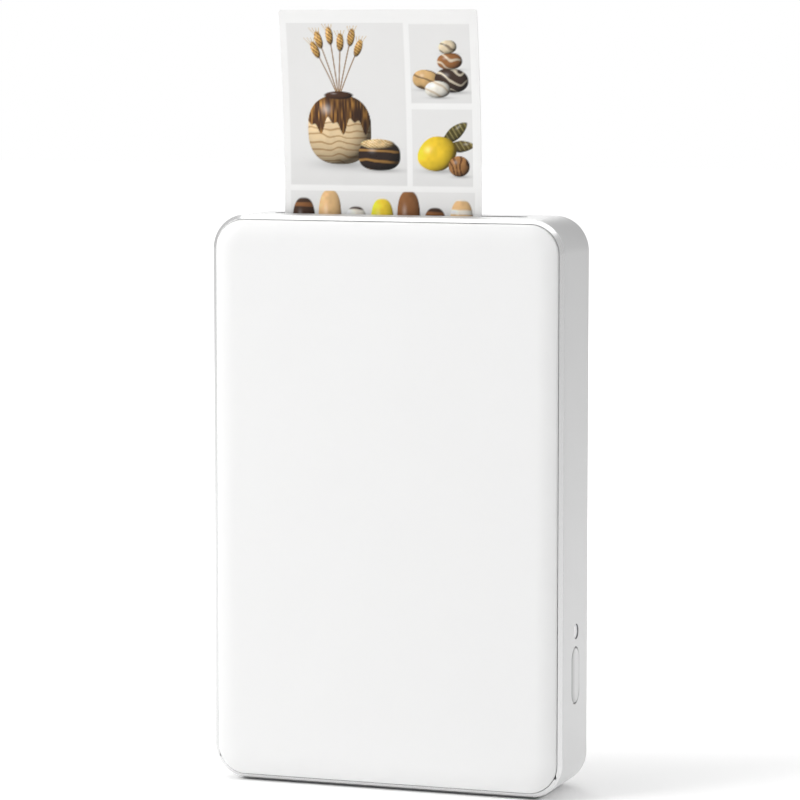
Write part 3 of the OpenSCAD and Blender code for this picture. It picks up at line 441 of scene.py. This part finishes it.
def light_window():
    """Light pipe: a round rod with a flange behind the wall, its face a little sunk and dished."""
    face_x, flange_x, rod_x = side_x - 0.31, inner_x - 0.6, 40.0
    dish_depth, flange_out, rod_in = 0.15, -0.5, 0.7
    dish = np.linspace(light_r - 0.05, 0.25, 8)
    face = np.column_stack([dish, face_x - dish_depth * (dish / light_r) ** 2])
    rim = softened([face[-1], [0, face_x, 0.1], [0, inner_x], [flange_out, inner_x],
                    [flange_out, flange_x], [rod_in, flange_x], [rod_in, rod_x]])
    return disc("light_window", light_r, np.vstack([face[:-1], rim]), FACING_SIDE, light_at)


# ---- Springs ----

def coil_springs(node, turns, wire):
    """Helical springs in a row inside a node's bounds, each with its axis along y, as round wire carried
    along a helix of one radius. The rise is slower over nearly one turn at each end."""
    low, high = (np.array(end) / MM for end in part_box(node))
    all_turns, turn_steps, wire_steps = turns + 2, 36, 12
    end_turn, end_rise = 0.9, 0.09
    turn = np.linspace(0, all_turns, turn_steps * all_turns + 1)
    rise = np.interp(turn, [0, end_turn, all_turns - end_turn, all_turns], [0, end_rise, 1 - end_rise, 1])
    angle, round_wire = turn * 2 * math.pi, np.linspace(0, 2 * math.pi, wire_steps + 1)[:-1]
    y = low[1] + wire + rise[:, None] * (high[1] - low[1] - 2 * wire) + wire * np.sin(round_wire)
    springs = []
    for x, z, radius in spring_places(low, high):
        reach = radius - wire + wire * np.cos(round_wire)
        points = np.stack([x + reach * np.cos(angle)[:, None], y, z + reach * np.sin(angle)[:, None]], -1)
        springs.append(surface(node + "_coils", points, (False, True)))
    return fused(springs[0], *springs[1:])


def spring_places(low, high):
    """Two springs at the far ends of the longer side of these bounds, as wide as their shorter side."""
    along_x = high[0] - low[0] > high[2] - low[2]
    radius = (high[2] - low[2] if along_x else high[0] - low[0]) / 2
    middle = (low + high) / 2
    if along_x:
        return [(end, middle[2], radius) for end in (low[0] + radius, high[0] - radius)]
    return [(middle[0], end, radius) for end in (low[2] + radius, high[2] - radius)]


# ---- Printed sheet ----

sheet_low, sheet_high = (np.array(corner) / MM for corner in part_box("print_sheet"))
sheet_mid_x = (sheet_low[0] + sheet_high[0]) / 2
sheet_w = sheet_high[0] - sheet_low[0]
sheet_corner, sheet_rest = 0.6, 0.03
sheet_columns, sheet_rows = 232, 346
curl_from, curl_reach = 141.0, 4.0
paper_tone = np.array([0.94, 0.937, 0.928])
backdrop_tone = np.array([0.835, 0.83, 0.82])


def printed_sheet():
    """Sheet: across by up, straight inside the slot and curling forwards above it with the square of the
    height. Near its ends the rows narrow along a quarter circle, which rounds the corners."""
    across = np.linspace(-1, 1, sheet_columns)
    height = np.linspace(sheet_low[2] + sheet_rest, sheet_high[2], sheet_rows)
    to_end = np.minimum(height - height[0], sheet_high[2] - height).clip(0, sheet_corner)
    reach = sheet_w / 2 - sheet_corner + np.sqrt(sheet_corner ** 2 - (sheet_corner - to_end) ** 2)
    x = sheet_mid_x + across[None, :] * reach[:, None]
    z = np.broadcast_to(height[:, None], x.shape)
    curl = curl_reach * ((z - curl_from).clip(0) / (sheet_high[2] - curl_from)) ** 2
    front = np.stack([x, sheet_low[1] - curl, z], -1)
    back = np.stack([x[:, [-1, 0]], (sheet_high[1] - curl)[:, :2], z[:, :2]], -1)
    piece = surface("printed_sheet", np.concatenate([front, back], 1), (False, True))
    colours = np.ones(x.shape[:1] + (x.shape[1] + 2, 4))
    colours[..., :3] = paper_tone
    colours[:, :-2, :3] = printed_colours(x, z)
    layer = piece.data.attributes.new("print_colour", "FLOAT_COLOR", "POINT")
    layer.data.foreach_set("color", colours.ravel())
    return piece


def wander(x, z, size, seed):
    """Smooth noise from 0 to 1: random heights on a lattice of that size, eased between its points."""
    count = 64
    lattice = np.random.default_rng(seed).random((count, count))
    u, v = x / size, z / size
    i, j = np.floor(u).astype(int), np.floor(v).astype(int)
    s, t = ((w - np.floor(w)) for w in (u, v))
    s, t = (w * w * (3 - 2 * w) for w in (s, t))
    corner = [[lattice[(i + a) % count, (j + b) % count] for b in (0, 1)] for a in (0, 1)]
    return ((1 - s) * ((1 - t) * corner[0][0] + t * corner[0][1])
            + s * ((1 - t) * corner[1][0] + t * corner[1][1]))


def laid(under, over, cover):
    """One layer of colour laid on another where it covers it."""
    return under + (over - under) * cover[..., None]


def fade(distance, width=0.16):
    """1 inside an outline and 0 outside it, eased over a narrow width."""
    return (0.5 - distance / width).clip(0, 1)


def superellipse(u, v, power):
    """Distance from the middle, in shares of the outline's own distance."""
    return (np.abs(u) ** power + np.abs(v) ** power) ** (1 / power)


def shaded_body(canvas, x, z, at, size, tone, mottle=0.0, seed=0, power=2.0, tilt=0.0, marks=None,
                shadow=0.42):
    """A round body: inside a superellipse its height gives a normal, and light from the upper left shades
    its tone. Marks are wavy bands across it: their tone, waves per millimetre across and up, the share
    that they take, and how far they sway. Under it lies a soft shadow, and on its shoulder a gleam."""
    right, up = x - at[0], z - at[1]
    c, s = math.cos(tilt), math.sin(tilt)
    u, v = (right * c + up * s) / size[0], (up * c - right * s) / size[1]
    r = superellipse(u, v, power)
    shift, shadow_w, shadow_h, fall = 0.2 * size[0], 1.25 * size[0], 0.22 * size[1], 2.2
    shadow_r = np.hypot((right - shift) / shadow_w, (up + size[1]) / shadow_h)
    canvas = canvas * (1 - shadow * np.exp(-fall * shadow_r ** 2))[..., None]
    lamp, ambient, darkest, brightest = (-0.55, 0.5, 0.55), 0.36, 0.10, 1.3
    outwards = np.sqrt((1 - r ** 2).clip(0.02))
    light = (lamp[2] * outwards + lamp[0] * u * r + lamp[1] * v * r + ambient).clip(darkest, brightest)
    mottle_size, sway_size = 0.9, 2.4
    if mottle:
        light = light * (1 - mottle + 2 * mottle * wander(x, z, mottle_size, seed))
    tones = np.broadcast_to(np.array(tone, float), x.shape + (3,))
    if marks:
        second, (along_x, along_z), share, sway = marks
        phase = x * along_x + z * along_z + sway * wander(x, z, sway_size, seed + 1)
        tones = laid(tones, np.array(second), fade(np.cos(2 * math.pi * phase) + 1 - 2 * share, 0.5))
    gleam_at, gleam_size, gleam_share = (-0.35, 0.4), 0.03, 0.22
    gleam = np.exp(-((u - gleam_at[0]) ** 2 + (v - gleam_at[1]) ** 2) / gleam_size)
    body = (tones * light[..., None]).clip(0, 0.95) + gleam_share * gleam[..., None]
    return laid(canvas, body, fade((r - 1) * min(size)))


def ear_of_grain(canvas, x, z, root, lean, top):
    """One ear: a stem that leans out from its root and bends with the square of its height, four bristles
    above its end, and a striped body."""
    bend, stem_half, bristle_half, bristle_h = 0.012, 0.15, 0.07, 2.9
    stem_tone, bristle_tone = np.array([0.28, 0.15, 0.05]), np.array([0.62, 0.42, 0.16])
    rise, length = (z - root[1]).clip(0), top - root[1]
    stem_x = root[0] + lean * rise + bend * lean * rise ** 2
    ear_x = root[0] + lean * length * (1 + bend * length)
    stem = fade(np.abs(x - stem_x) - stem_half) * (rise > 0) * (z < top)
    canvas = laid(canvas, stem_tone, stem)
    for fan in (-0.55, -0.25, 0.05, 0.35):
        bristle = fade(np.abs(x - ear_x - (z - top) * (lean + fan)) - bristle_half)
        canvas = laid(canvas, bristle_tone, bristle * (z > top) * (z < top + bristle_h))
    stripes = ((0.24, 0.10, 0.03), (0.9, 1.2), 0.3, 0.4)
    return shaded_body(canvas, x, z, (ear_x, top), (0.95, 2.2), (0.70, 0.42, 0.12), 0.3, int(top * 10),
                       tilt=-lean, marks=stripes, shadow=0.0)


def glazed_jar(canvas, x, z, at, size):
    """A striped jar, and on its shoulder a glaze that ends below in a sum of two waves. Noise stretched
    upwards streaks the glaze, which darkens to the right and has a gleam. The mouth is dark."""
    power = 2.5
    stripes = ((0.50, 0.30, 0.13), (0.02, 0.62), 0.12, 0.8)
    canvas = shaded_body(canvas, x, z, at, size, (0.86, 0.66, 0.40), 0.06, 3, power, marks=stripes)
    drip = -5.0 + 1.5 * np.sin(1.05 * x) + 0.9 * np.sin(2.2 * x + 1)
    inside = fade((superellipse((x - at[0]) / size[0], (z - at[1]) / size[1], power) - 1) * size[0])
    streak = (wander(x * 2.4, z * 0.35, 0.9, 9) ** 3)[..., None]
    glaze = np.array([0.055, 0.022, 0.012]) + streak * (0.62, 0.30, 0.06)
    glaze = glaze * (1.05 - 0.06 * (x + 6)).clip(0.3, 1.3)[..., None]
    gleam = 0.35 * np.exp(-((x + 5.6) ** 2 + (z + 1.2) ** 2) / 1.2)[..., None]
    canvas = laid(canvas, glaze + gleam, inside * fade(drip - z, 0.4))
    mouth_z, mouth_half = 2.2, (3.7, 0.95)
    return shaded_body(canvas, x, z, (at[0], mouth_z), mouth_half, (0.07, 0.03, 0.015), 0.05, 8, shadow=0.2)


def still_life(x, z):
    """A glazed jar with ears of grain, and a filled low bowl in front."""
    canvas = backdrop(x, z, -12.5)
    ears = [(-0.42, 13.2), (-0.28, 15.6), (-0.10, 16.6), (0.06, 15.0), (0.22, 16.2), (0.40, 13.6)]
    for lean, top in ears:
        canvas = ear_of_grain(canvas, x, z, (-2.2, 1.5), lean, top)
    canvas = glazed_jar(canvas, x, z, (-2.2, -6.2), (8.2, 8.4))
    bands = ((0.42, 0.22, 0.06), (0.02, 0.42), 0.12, 0.2)
    canvas = shaded_body(canvas, x, z, (8.0, -12.4), (5.4, 3.6), (0.030, 0.018, 0.014), 0.1, 4, 2.6,
                         marks=bands)
    filling = ((0.60, 0.33, 0.10), (0.9, 1.6), 0.3, 1.2)
    return shaded_body(canvas, x, z, (7.6, -9.6), (4.3, 1.2), (0.95, 0.74, 0.42), 0.3, 6, marks=filling)


def pebbles(x, z):
    """Five veined river stones, two of them stacked on the others."""
    canvas = backdrop(x, z, -5.6)
    pale, buff, dark = (0.90, 0.80, 0.62), (0.62, 0.48, 0.32), (0.10, 0.05, 0.025)
    stones = [
        ((-3.7, -3.9), (3.5, 2.4), (0.72, 0.46, 0.20), dark),
        ((2.7, -4.0), (4.3, 2.9), (0.05, 0.028, 0.02), pale),
        ((-0.9, -6.2), (3.2, 2.0), (0.93, 0.89, 0.80), buff),
        ((2.4, 0.6), (3.2, 2.0), (0.36, 0.15, 0.05), pale),
        ((2.0, 4.0), (2.3, 1.6), (0.88, 0.74, 0.52), dark),
    ]
    for number, (at, size, tone, vein) in enumerate(stones):
        tilt, veins = 0.06 * (number - 2), (vein, (0.12, 0.34 + 0.03 * number), 0.08, 1.1)
        canvas = shaded_body(canvas, x, z, at, size, tone, 0.13, 20 + number, 2.2, tilt, veins)
    return canvas


def lemon(x, z):
    """A tilted lemon, beside two dark leaves and a walnut."""
    canvas = backdrop(x, z, -5.0)
    veins = ((0.34, 0.28, 0.10), (0.8, 0.5), 0.14, 0.2)
    for at, size, tone, seed, tilt in (((3.2, 3.6), (1.6, 4.0), (0.085, 0.07, 0.02), 31, -0.9),
                                       ((4.6, 0.4), (1.4, 3.6), (0.11, 0.08, 0.025), 32, -1.5)):
        canvas = shaded_body(canvas, x, z, at, size, tone, 0.1, seed, 1.6, tilt, veins)
    canvas = shaded_body(canvas, x, z, (-1.4, -1.4), (5.2, 4.2), (0.97, 0.66, 0.04), 0.09, 33, 1.8, 0.35)
    furrows = ((0.13, 0.055, 0.02), (0.75, 0.2), 0.3, 1.3)
    return shaded_body(canvas, x, z, (4.2, -4.4), (2.7, 2.5), (0.42, 0.20, 0.07), 0.3, 34, marks=furrows)


def shelf(x, z):
    """A long shelf of round pots, seen from its top edge down, some with bands of a second glaze."""
    canvas = backdrop(x, z, -9.0)
    glazes = [(0.06, 0.03, 0.018), (0.97, 0.70, 0.05), (0.78, 0.50, 0.24), (0.26, 0.11, 0.04),
              (0.92, 0.86, 0.76)]
    first_x, pitch = -20.4, 6.8
    for number in range(7):
        tall = (number + 1) % 3
        at, size = (first_x + pitch * number, -1.2 + 1.1 * tall), (3.0, 6.4 + 0.9 * tall)
        bands = (glazes[(number + 3) % 5], (0.01, 0.30 + 0.05 * (number % 2)), 0.22, 0.1)
        canvas = shaded_body(canvas, x, z, at, size, glazes[(2 * number) % 5], 0.1, 40 + number, 2.8,
                             marks=bands if number % 3 != 1 else None)
    return canvas


def backdrop(x, z, horizon):
    """A pale studio paper, a little brighter above the line where it turns to the floor."""
    lift = 1 / (1 + np.exp(-(z - horizon) / 2.0))
    tone = 0.955 + 0.05 * lift + 0.01 * (wander(x + 90, z + 90, 6, 5) - 0.5)
    return backdrop_tone * tone[..., None]


# Pictures on the sheet: painter, middle across and down from the sheet's top, width and height
PICTURES = [
    (still_life, -8.6, -22.9, 30.2, 39.4),
    (pebbles, 15.6, -13.0, 15.4, 19.0),
    (lemon, 15.6, -33.3, 15.4, 18.6),
    (shelf, 0.0, -53.0, 47.6, 18.0),
    (pebbles, -15.9, -68.6, 15.6, 11.0),
    (lemon, 8.1, -68.6, 31.0, 11.0),
]


def printed_colours(x, z):
    """Paper white, with each picture laid on it inside its own rectangle."""
    colours = np.broadcast_to(paper_tone, x.shape + (3,)).copy()
    for painter, across, down, width, height in PICTURES:
        u, v = x - sheet_mid_x - across, z - sheet_high[2] - down
        inside = fade(np.maximum(np.abs(u) - width / 2, np.abs(v) - height / 2), 0.2)
        area = inside > 0
        colours[area] = laid(colours[area], painter(u[area], v[area]), inside[area])
    return colours


# ---- Finishes ----

def feed(tree, socket, value):
    """Links a socket to another one, or sets it to a constant."""
    if isinstance(value, bpy.types.NodeSocket):
        tree.links.new(value, socket)
    else:
        socket.default_value = value


def add(tree, kind, inputs=None, **settings):
    """A shader node with its settings, and its inputs set or linked."""
    node = tree.nodes.new("ShaderNode" + kind)
    for key, value in settings.items():
        setattr(node, key, value)
    for key, value in (inputs or {}).items():
        feed(tree, node.inputs[key], value)
    return node


def maths(tree, operation, first, second=0.0):
    """One step of arithmetic, on one number or on two."""
    return add(tree, "Math", {0: first, 1: second}, operation=operation).outputs[0]


def object_place(tree):
    """Object coordinates, which follow the piece."""
    return add(tree, "TexCoord").outputs["Object"]


def noise(tree, scale, stretch=(1, 1, 1)):
    """A noise on Object coordinates, stretched along the axes where the finish has a direction."""
    place = object_place(tree)
    if stretch != (1, 1, 1):
        place = add(tree, "Mapping", {"Vector": place, "Scale": stretch}).outputs["Vector"]
    return add(tree, "TexNoise", {"Vector": place, "Scale": scale, "Detail": 3.0}).outputs["Fac"]


def spread(tree, source, low, high, start=0.3, stop=0.7):
    """A value taken from one range to another: low up to the start, high from the stop on. Without a start
    and a stop, the range is the one that a noise mostly fills."""
    return add(tree, "MapRange", {"Value": source, "From Min": start, "From Max": stop,
                                  "To Min": low, "To Max": high}).outputs["Result"]


def colour_mix(tree, factor, first, second, blend="MIX"):
    """Two colours mixed by a factor, or the second one blended over the first by that much."""
    mix = add(tree, "Mix", {"Factor": factor}, data_type="RGBA", blend_type=blend)
    for socket, value in zip([i for i in mix.inputs if i.type == "RGBA"], (first, second)):
        feed(tree, socket, value)
    return next(o for o in mix.outputs if o.type == "RGBA")


def shades(tree, source, tone, drift):
    """Two shades of a tone, a little darker and a little lighter, mixed by a noise."""
    darker, lighter = ([min(1.0, channel * change) for channel in tone] + [1.0]
                       for change in (1 - drift, 1 + drift))
    return colour_mix(tree, source, darker, lighter)


def finish(name, tone, rough, drift, grain, relief, stretch=(1, 1, 1), cloud=45.0, **sockets):
    """Two shades drifting slowly, a roughness that wanders with the grain, and the grain as fine relief
    of that depth in millimetres. Other sockets of the shader are set as given."""
    material = bpy.data.materials.new(name)
    material.use_nodes = True
    tree = material.node_tree
    shader = tree.nodes["Principled BSDF"]
    fine = noise(tree, grain, stretch)
    smoother, rougher = rough * 0.85, min(1.0, rough * 1.15)
    feed(tree, shader.inputs["Base Color"], shades(tree, noise(tree, cloud), tone, drift))
    feed(tree, shader.inputs["Roughness"], spread(tree, fine, smoother, rougher))
    bump = add(tree, "Bump", {"Height": fine, "Distance": relief * MM, "Strength": 1.0})
    feed(tree, shader.inputs["Normal"], bump.outputs["Normal"])
    for key, value in sockets.items():
        shader.inputs[key.replace("_", " ").title().replace("Ior", "IOR")].default_value = value
    return material


def shade_painted_dish_finish(name, **look):
    """A finish with painted shade: darker where a dish falls away from its front edge, and clear from its
    middle on.
    """
    material = finish(name, **look)
    tree = material.node_tree
    base = tree.nodes["Principled BSDF"].inputs["Base Color"]
    along = add(tree, "SeparateXYZ", {"Vector": object_place(tree)}).outputs["Y"]
    front, darkest, clear = button_at[1] - button_size[1] / 2, 0.64, 1.06
    dark_until, clear_from = (front + 1.2) * MM, (front + 4.2) * MM
    # Painted shade: the base colour is scaled down towards the dish's front edge
    shade = spread(tree, along, darkest, clear, dark_until, clear_from)
    scaled = add(tree, "VectorMath", {0: base.links[0].from_socket, "Scale": shade}, operation="SCALE")
    feed(tree, base, scaled.outputs[0])
    return material


def print_finish(name):
    """Coated photo paper: the picture from the sheet's own colours, a smooth gloss and a faint pebble."""
    material = finish(name, (0.9, 0.9, 0.9), 0.32, 0.0, 1500.0, 0.004, specular_ior_level=0.2)
    tree = material.node_tree
    picture = add(tree, "Attribute", attribute_name="print_colour").outputs["Color"]
    feed(tree, tree.nodes["Principled BSDF"].inputs["Base Color"], picture)
    return material


def layered_finish(name, tone, rough, pitch, depth):
    """Paper seen on edge: fine dark lines across the stack's depth, one to a sheet."""
    material = finish(name, tone, rough, 0.02, 2500.0, 0.006)
    tree = material.node_tree
    base, normal = (tree.nodes["Principled BSDF"].inputs[key] for key in ("Base Color", "Normal"))
    across = add(tree, "SeparateXYZ", {"Vector": object_place(tree)}).outputs["Y"]
    wave = maths(tree, "PINGPONG", across, pitch * MM)
    line_share, darkening = 0.35, 0.35
    line = spread(tree, wave, 0.0, 1.0, 0.0, pitch * MM * line_share)
    bump = add(tree, "Bump", {"Height": line, "Distance": depth * MM, "Strength": 1.0,
                              "Normal": normal.links[0].from_socket})
    feed(tree, normal, bump.outputs["Normal"])
    feed(tree, base, colour_mix(tree, darkening, base.links[0].from_socket, line, "MULTIPLY"))
    return material


# The band's finish, which the button shares, with painted shade added on its dish
SILVER = {"tone": (0.625, 0.625, 0.625), "rough": 0.44, "drift": 0.012, "grain": 4200.0, "relief": 0.007,
          "metallic": 0.75}

# Finishes by slot, and a grey of painted shade for the light's hole and the band's lowest edge: tone,
# roughness, the tone's drift, the grain's scale, and its relief in millimetres
FINISHES = {
    "white_shell": finish("white_shell", (0.905, 0.905, 0.902), 0.34, 0.006, 5200.0, 0.003),
    "painted_shade_grey": finish("painted_shade_grey", (0.24, 0.24, 0.245), 0.60, 0.05, 3600.0, 0.004),
    "silver_band": finish("silver_band", **SILVER),
    "liner_plastic": finish("liner_plastic", (0.60, 0.60, 0.59), 0.50, 0.02, 3600.0, 0.008),
    "dark_plastic": finish("dark_plastic", (0.035, 0.036, 0.038), 0.48, 0.12, 3600.0, 0.012),
    "gear_plastic": finish("gear_plastic", (0.78, 0.77, 0.73), 0.36, 0.02, 2400.0, 0.004),
    "steel": finish("steel", (0.56, 0.56, 0.57), 0.30, 0.04, 1400.0, 0.004, (1, 1, 14), metallic=1.0),
    "brass": finish("brass", (0.72, 0.52, 0.24), 0.28, 0.05, 1400.0, 0.004, metallic=1.0),
    "aluminium": finish("aluminium", (0.74, 0.75, 0.76), 0.36, 0.03, 1300.0, 0.006, (0.1, 1, 1),
                        metallic=1.0),
    "ceramic": finish("ceramic", (0.80, 0.78, 0.72), 0.22, 0.02, 2200.0, 0.003),
    "rubber": finish("rubber", (0.028, 0.028, 0.029), 0.72, 0.15, 2600.0, 0.02),
    "cork": finish("cork", (0.42, 0.25, 0.13), 0.85, 0.35, 1400.0, 0.06, cloud=900.0),
    "cell": finish("cell", (0.42, 0.43, 0.46), 0.38, 0.03, 900.0, 0.03, metallic=0.5),
    "lead": finish("lead", (0.35, 0.02, 0.02), 0.45, 0.08, 2500.0, 0.006),
    "board": finish("board", (0.015, 0.12, 0.06), 0.38, 0.15, 1200.0, 0.01, cloud=500.0),
    "chip": finish("chip", (0.022, 0.022, 0.024), 0.42, 0.10, 3800.0, 0.008),
    "ribbon": finish("ribbon", (0.62, 0.40, 0.16), 0.35, 0.06, 900.0, 0.006, (8, 1, 0.2)),
    # The light pipe's plastic glows faintly: painted light that brightens its face
    "light_plastic": finish("light_plastic", (0.90, 0.90, 0.91), 0.30, 0.01, 3000.0, 0.002,
                            emission_strength=0.14),
    "paper": layered_finish("paper", (0.88, 0.88, 0.87), 0.55, 0.15, 0.03),
}
ring_finish = finish("bright_ring", (0.62, 0.62, 0.62), 0.24, 0.01, 2600.0, 0.002, metallic=0.9)
# Matte black without gloss: painted shade on the band's slot walls, and the guide insert's dark colour
slot_black_and_shade = finish("slot_dark", (0.02, 0.02, 0.021), 1.0, 0.12, 3600.0, 0.01, specular_ior_level=0.0)


# ---- The printer ----

slot_of = {row["node"]: row["material_slot"] for row in frame["record"]["subparts"]}


def dress_case():
    """The pieces that are seen from outside, except the sheet."""
    white, light = FINISHES["white_shell"], FINISHES["light_plastic"]
    band_finishes = [FINISHES["silver_band"], ring_finish, slot_black_and_shade, FINISHES["painted_shade_grey"]]
    dressed(cover_shell(), white, "cover", ["front_cover"])
    mark_ring(dressed(side_band(), band_finishes, "case", ["mid_frame"]))
    dressed(rear_shell(), white, "case", ["rear_cover"])
    dressed(slot_guide(), slot_black_and_shade, "case", ["exit_guide"])
    button_finish = shade_painted_dish_finish("silver_button", **SILVER)
    dressed(button_cap(), button_finish, "button", ["power_button"])
    dressed(light_window(), light, "case", ["light_pipe"])


def dress_sheet():
    """The printed sheet, on a mesh of its own."""
    sheet = dressed(printed_sheet(), print_finish("photo_print"), "sheet", ["print_sheet"])
    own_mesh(sheet)


def dress_springs():
    """Both pairs of springs. Each row has the node, the body, the joint, the turns between the closed ends,
    the wire's radius, and the most that the pair gives."""
    for node, body, joint, turns, wire, given in (("press_springs", "cover", "press_travel", 3, 0.25, 1.4),
                                                  ("head_springs", "case", "head_pivot", 4, 0.2, 0.4)):
        springs = dressed(coil_springs(node, turns, wire), FINISHES["steel"], body, [node])
        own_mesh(springs)


def dress_nodes():
    """Finishes for the nodes that are shown as the construction made them."""
    for name, node in frame["nodes"].items():
        if not node.hide_render:
            node.data.materials.clear()
            node.data.materials.append(FINISHES[slot_of[name]])


# ---- Studio ----

def studio_floor():
    """A wide pale floor just below the base, which shows white to the camera and keeps the object's soft
    shadow. What the camera sees of it glows: not at all under the case, by a step at the case's edge, and
    then more with the distance from it, as the lamps fall off. What gloss mirrors of it glows evenly."""
    half, floor_z = 4000.0, -0.42
    corners = np.array([[-half, -half, floor_z], [half, -half, floor_z],
                        [half, half, floor_z], [-half, half, floor_z]])
    mesh = bpy.data.meshes.new("studio_floor")
    mesh.from_pydata((corners * MM).tolist(), [], [(0, 1, 2, 3)])
    floor = bpy.data.objects.new("studio_floor", mesh)
    bpy.context.scene.collection.objects.link(floor)
    material = bpy.data.materials.new("floor_white")
    material.use_nodes = True
    tree = material.node_tree
    shader = tree.nodes["Principled BSDF"]
    shader.inputs["Base Color"].default_value = (0.92, 0.92, 0.92, 1)
    shader.inputs["Roughness"].default_value = 1.0
    shader.inputs["Specular IOR Level"].default_value = 0.0
    shader.inputs["Emission Color"].default_value = (1, 1, 1, 1)
    outward = add(tree, "VectorMath", {0: object_place(tree)}, operation="ABSOLUTE").outputs[0]
    case_edge = ((side_x - corner_r + 1) * MM, -band_y * MM, 0)
    outward = add(tree, "VectorMath", {0: outward, 1: case_edge}, operation="SUBTRACT").outputs[0]
    outward = add(tree, "SeparateXYZ", {"Vector": outward}).outputs
    apart = maths(tree, "MAXIMUM", outward["X"], outward["Y"])
    edge_glow, edge_reach, far_glow, far_reach = 0.14, 2.0, 0.7, 300.0
    near = spread(tree, apart, 0.0, edge_glow, 0.0, edge_reach * MM)
    far = spread(tree, apart, 0.0, far_glow, 0.0, far_reach * MM)
    glow = seen_as(tree, maths(tree, "ADD", near, far), mirrored=0.45, plain=0.0)
    feed(tree, shader.inputs["Emission Strength"], glow)
    mesh.materials.append(material)


def seen_as(tree, camera, mirrored, plain):
    """One level for what the camera sees and what it sees through clear parts, one for what gloss mirrors,
    and one for everything else: the greatest of the three that holds for the ray."""
    path = add(tree, "LightPath").outputs
    direct = maths(tree, "MAXIMUM", path["Is Camera Ray"], path["Is Transmission Ray"])
    direct = maths(tree, "MULTIPLY", direct, camera)
    gloss = maths(tree, "MULTIPLY", path["Is Glossy Ray"], mirrored)
    return maths(tree, "MAXIMUM", maths(tree, "MAXIMUM", direct, gloss), plain)


def studio_world(ambient, dim, mirrored):
    """White to the camera, and a plain ambient light for everything else. In gloss the room is dimmer in a
    strip across its middle than to its sides."""
    world = bpy.data.worlds.new("studio")
    bpy.context.scene.world = world
    world.use_nodes = True
    tree = world.node_tree
    back = tree.nodes["Background"]
    back.inputs["Color"].default_value = (1, 1, 1, 1)
    way = add(tree, "SeparateXYZ", {"Vector": object_place(tree)}).outputs["X"]
    strip_half, strip_end = 0.05, 0.33
    room = spread(tree, maths(tree, "ABSOLUTE", way), dim, mirrored, strip_half, strip_end)
    feed(tree, back.inputs["Strength"], seen_as(tree, 1.0, room, ambient))


def softbox(name, place, target, size, power):
    """A rectangular lamp that faces a target."""
    lamp = bpy.data.lights.new(name, "AREA")
    lamp.shape, lamp.size, lamp.size_y, lamp.energy = "RECTANGLE", size[0], size[1], power
    holder = bpy.data.objects.new(name, lamp)
    holder.location = place
    holder.rotation_euler = (Vector(target) - Vector(place)).to_track_quat("-Z", "Y").to_euler()
    bpy.context.scene.collection.objects.link(holder)


# Lamps, by name: place and target, the two sides in metres, and the power in watts
LAMPS = {
    "key": ((-0.98, -0.71, 0.78), (0, 0, 0.08), (0.8, 0.8), 11.2),
    "top": ((0.17, -0.22, 1.1), (0.17, -0.22, 0), (1.5, 0.6), 4.2),
    "back": ((-0.5, 1.2, 1.3), (0, 0, 0.08), (0.9, 0.9), 7.0),
}


def camera():
    """The photograph's view: a long lens, from the right and a little above."""
    azimuth, elevation, distance = math.radians(19.48), math.radians(5.667), 0.89387
    target = Vector((0.003466, -0.0097, 0.095261))
    back = Vector((math.sin(azimuth) * math.cos(elevation), -math.cos(azimuth) * math.cos(elevation),
                   math.sin(elevation)))
    lens = bpy.data.cameras.new("camera")
    lens.lens, lens.sensor_width = 166.545, 36.0
    lens.clip_start, lens.clip_end = 0.05, 20.0
    holder = bpy.data.objects.new("camera", lens)
    holder.location = target + back * distance
    holder.rotation_euler = (-back).to_track_quat("-Z", "Y").to_euler()
    bpy.context.scene.collection.objects.link(holder)
    bpy.context.scene.camera = holder


dress_case()
dress_sheet()
dress_springs()
dress_nodes()
studio_floor()
studio_world(ambient=0.38, dim=0.5, mirrored=0.8)
for lamp_name, lamp_values in LAMPS.items():
    softbox(lamp_name, *lamp_values)
camera()
bpy.context.scene.view_settings.view_transform = "Standard"
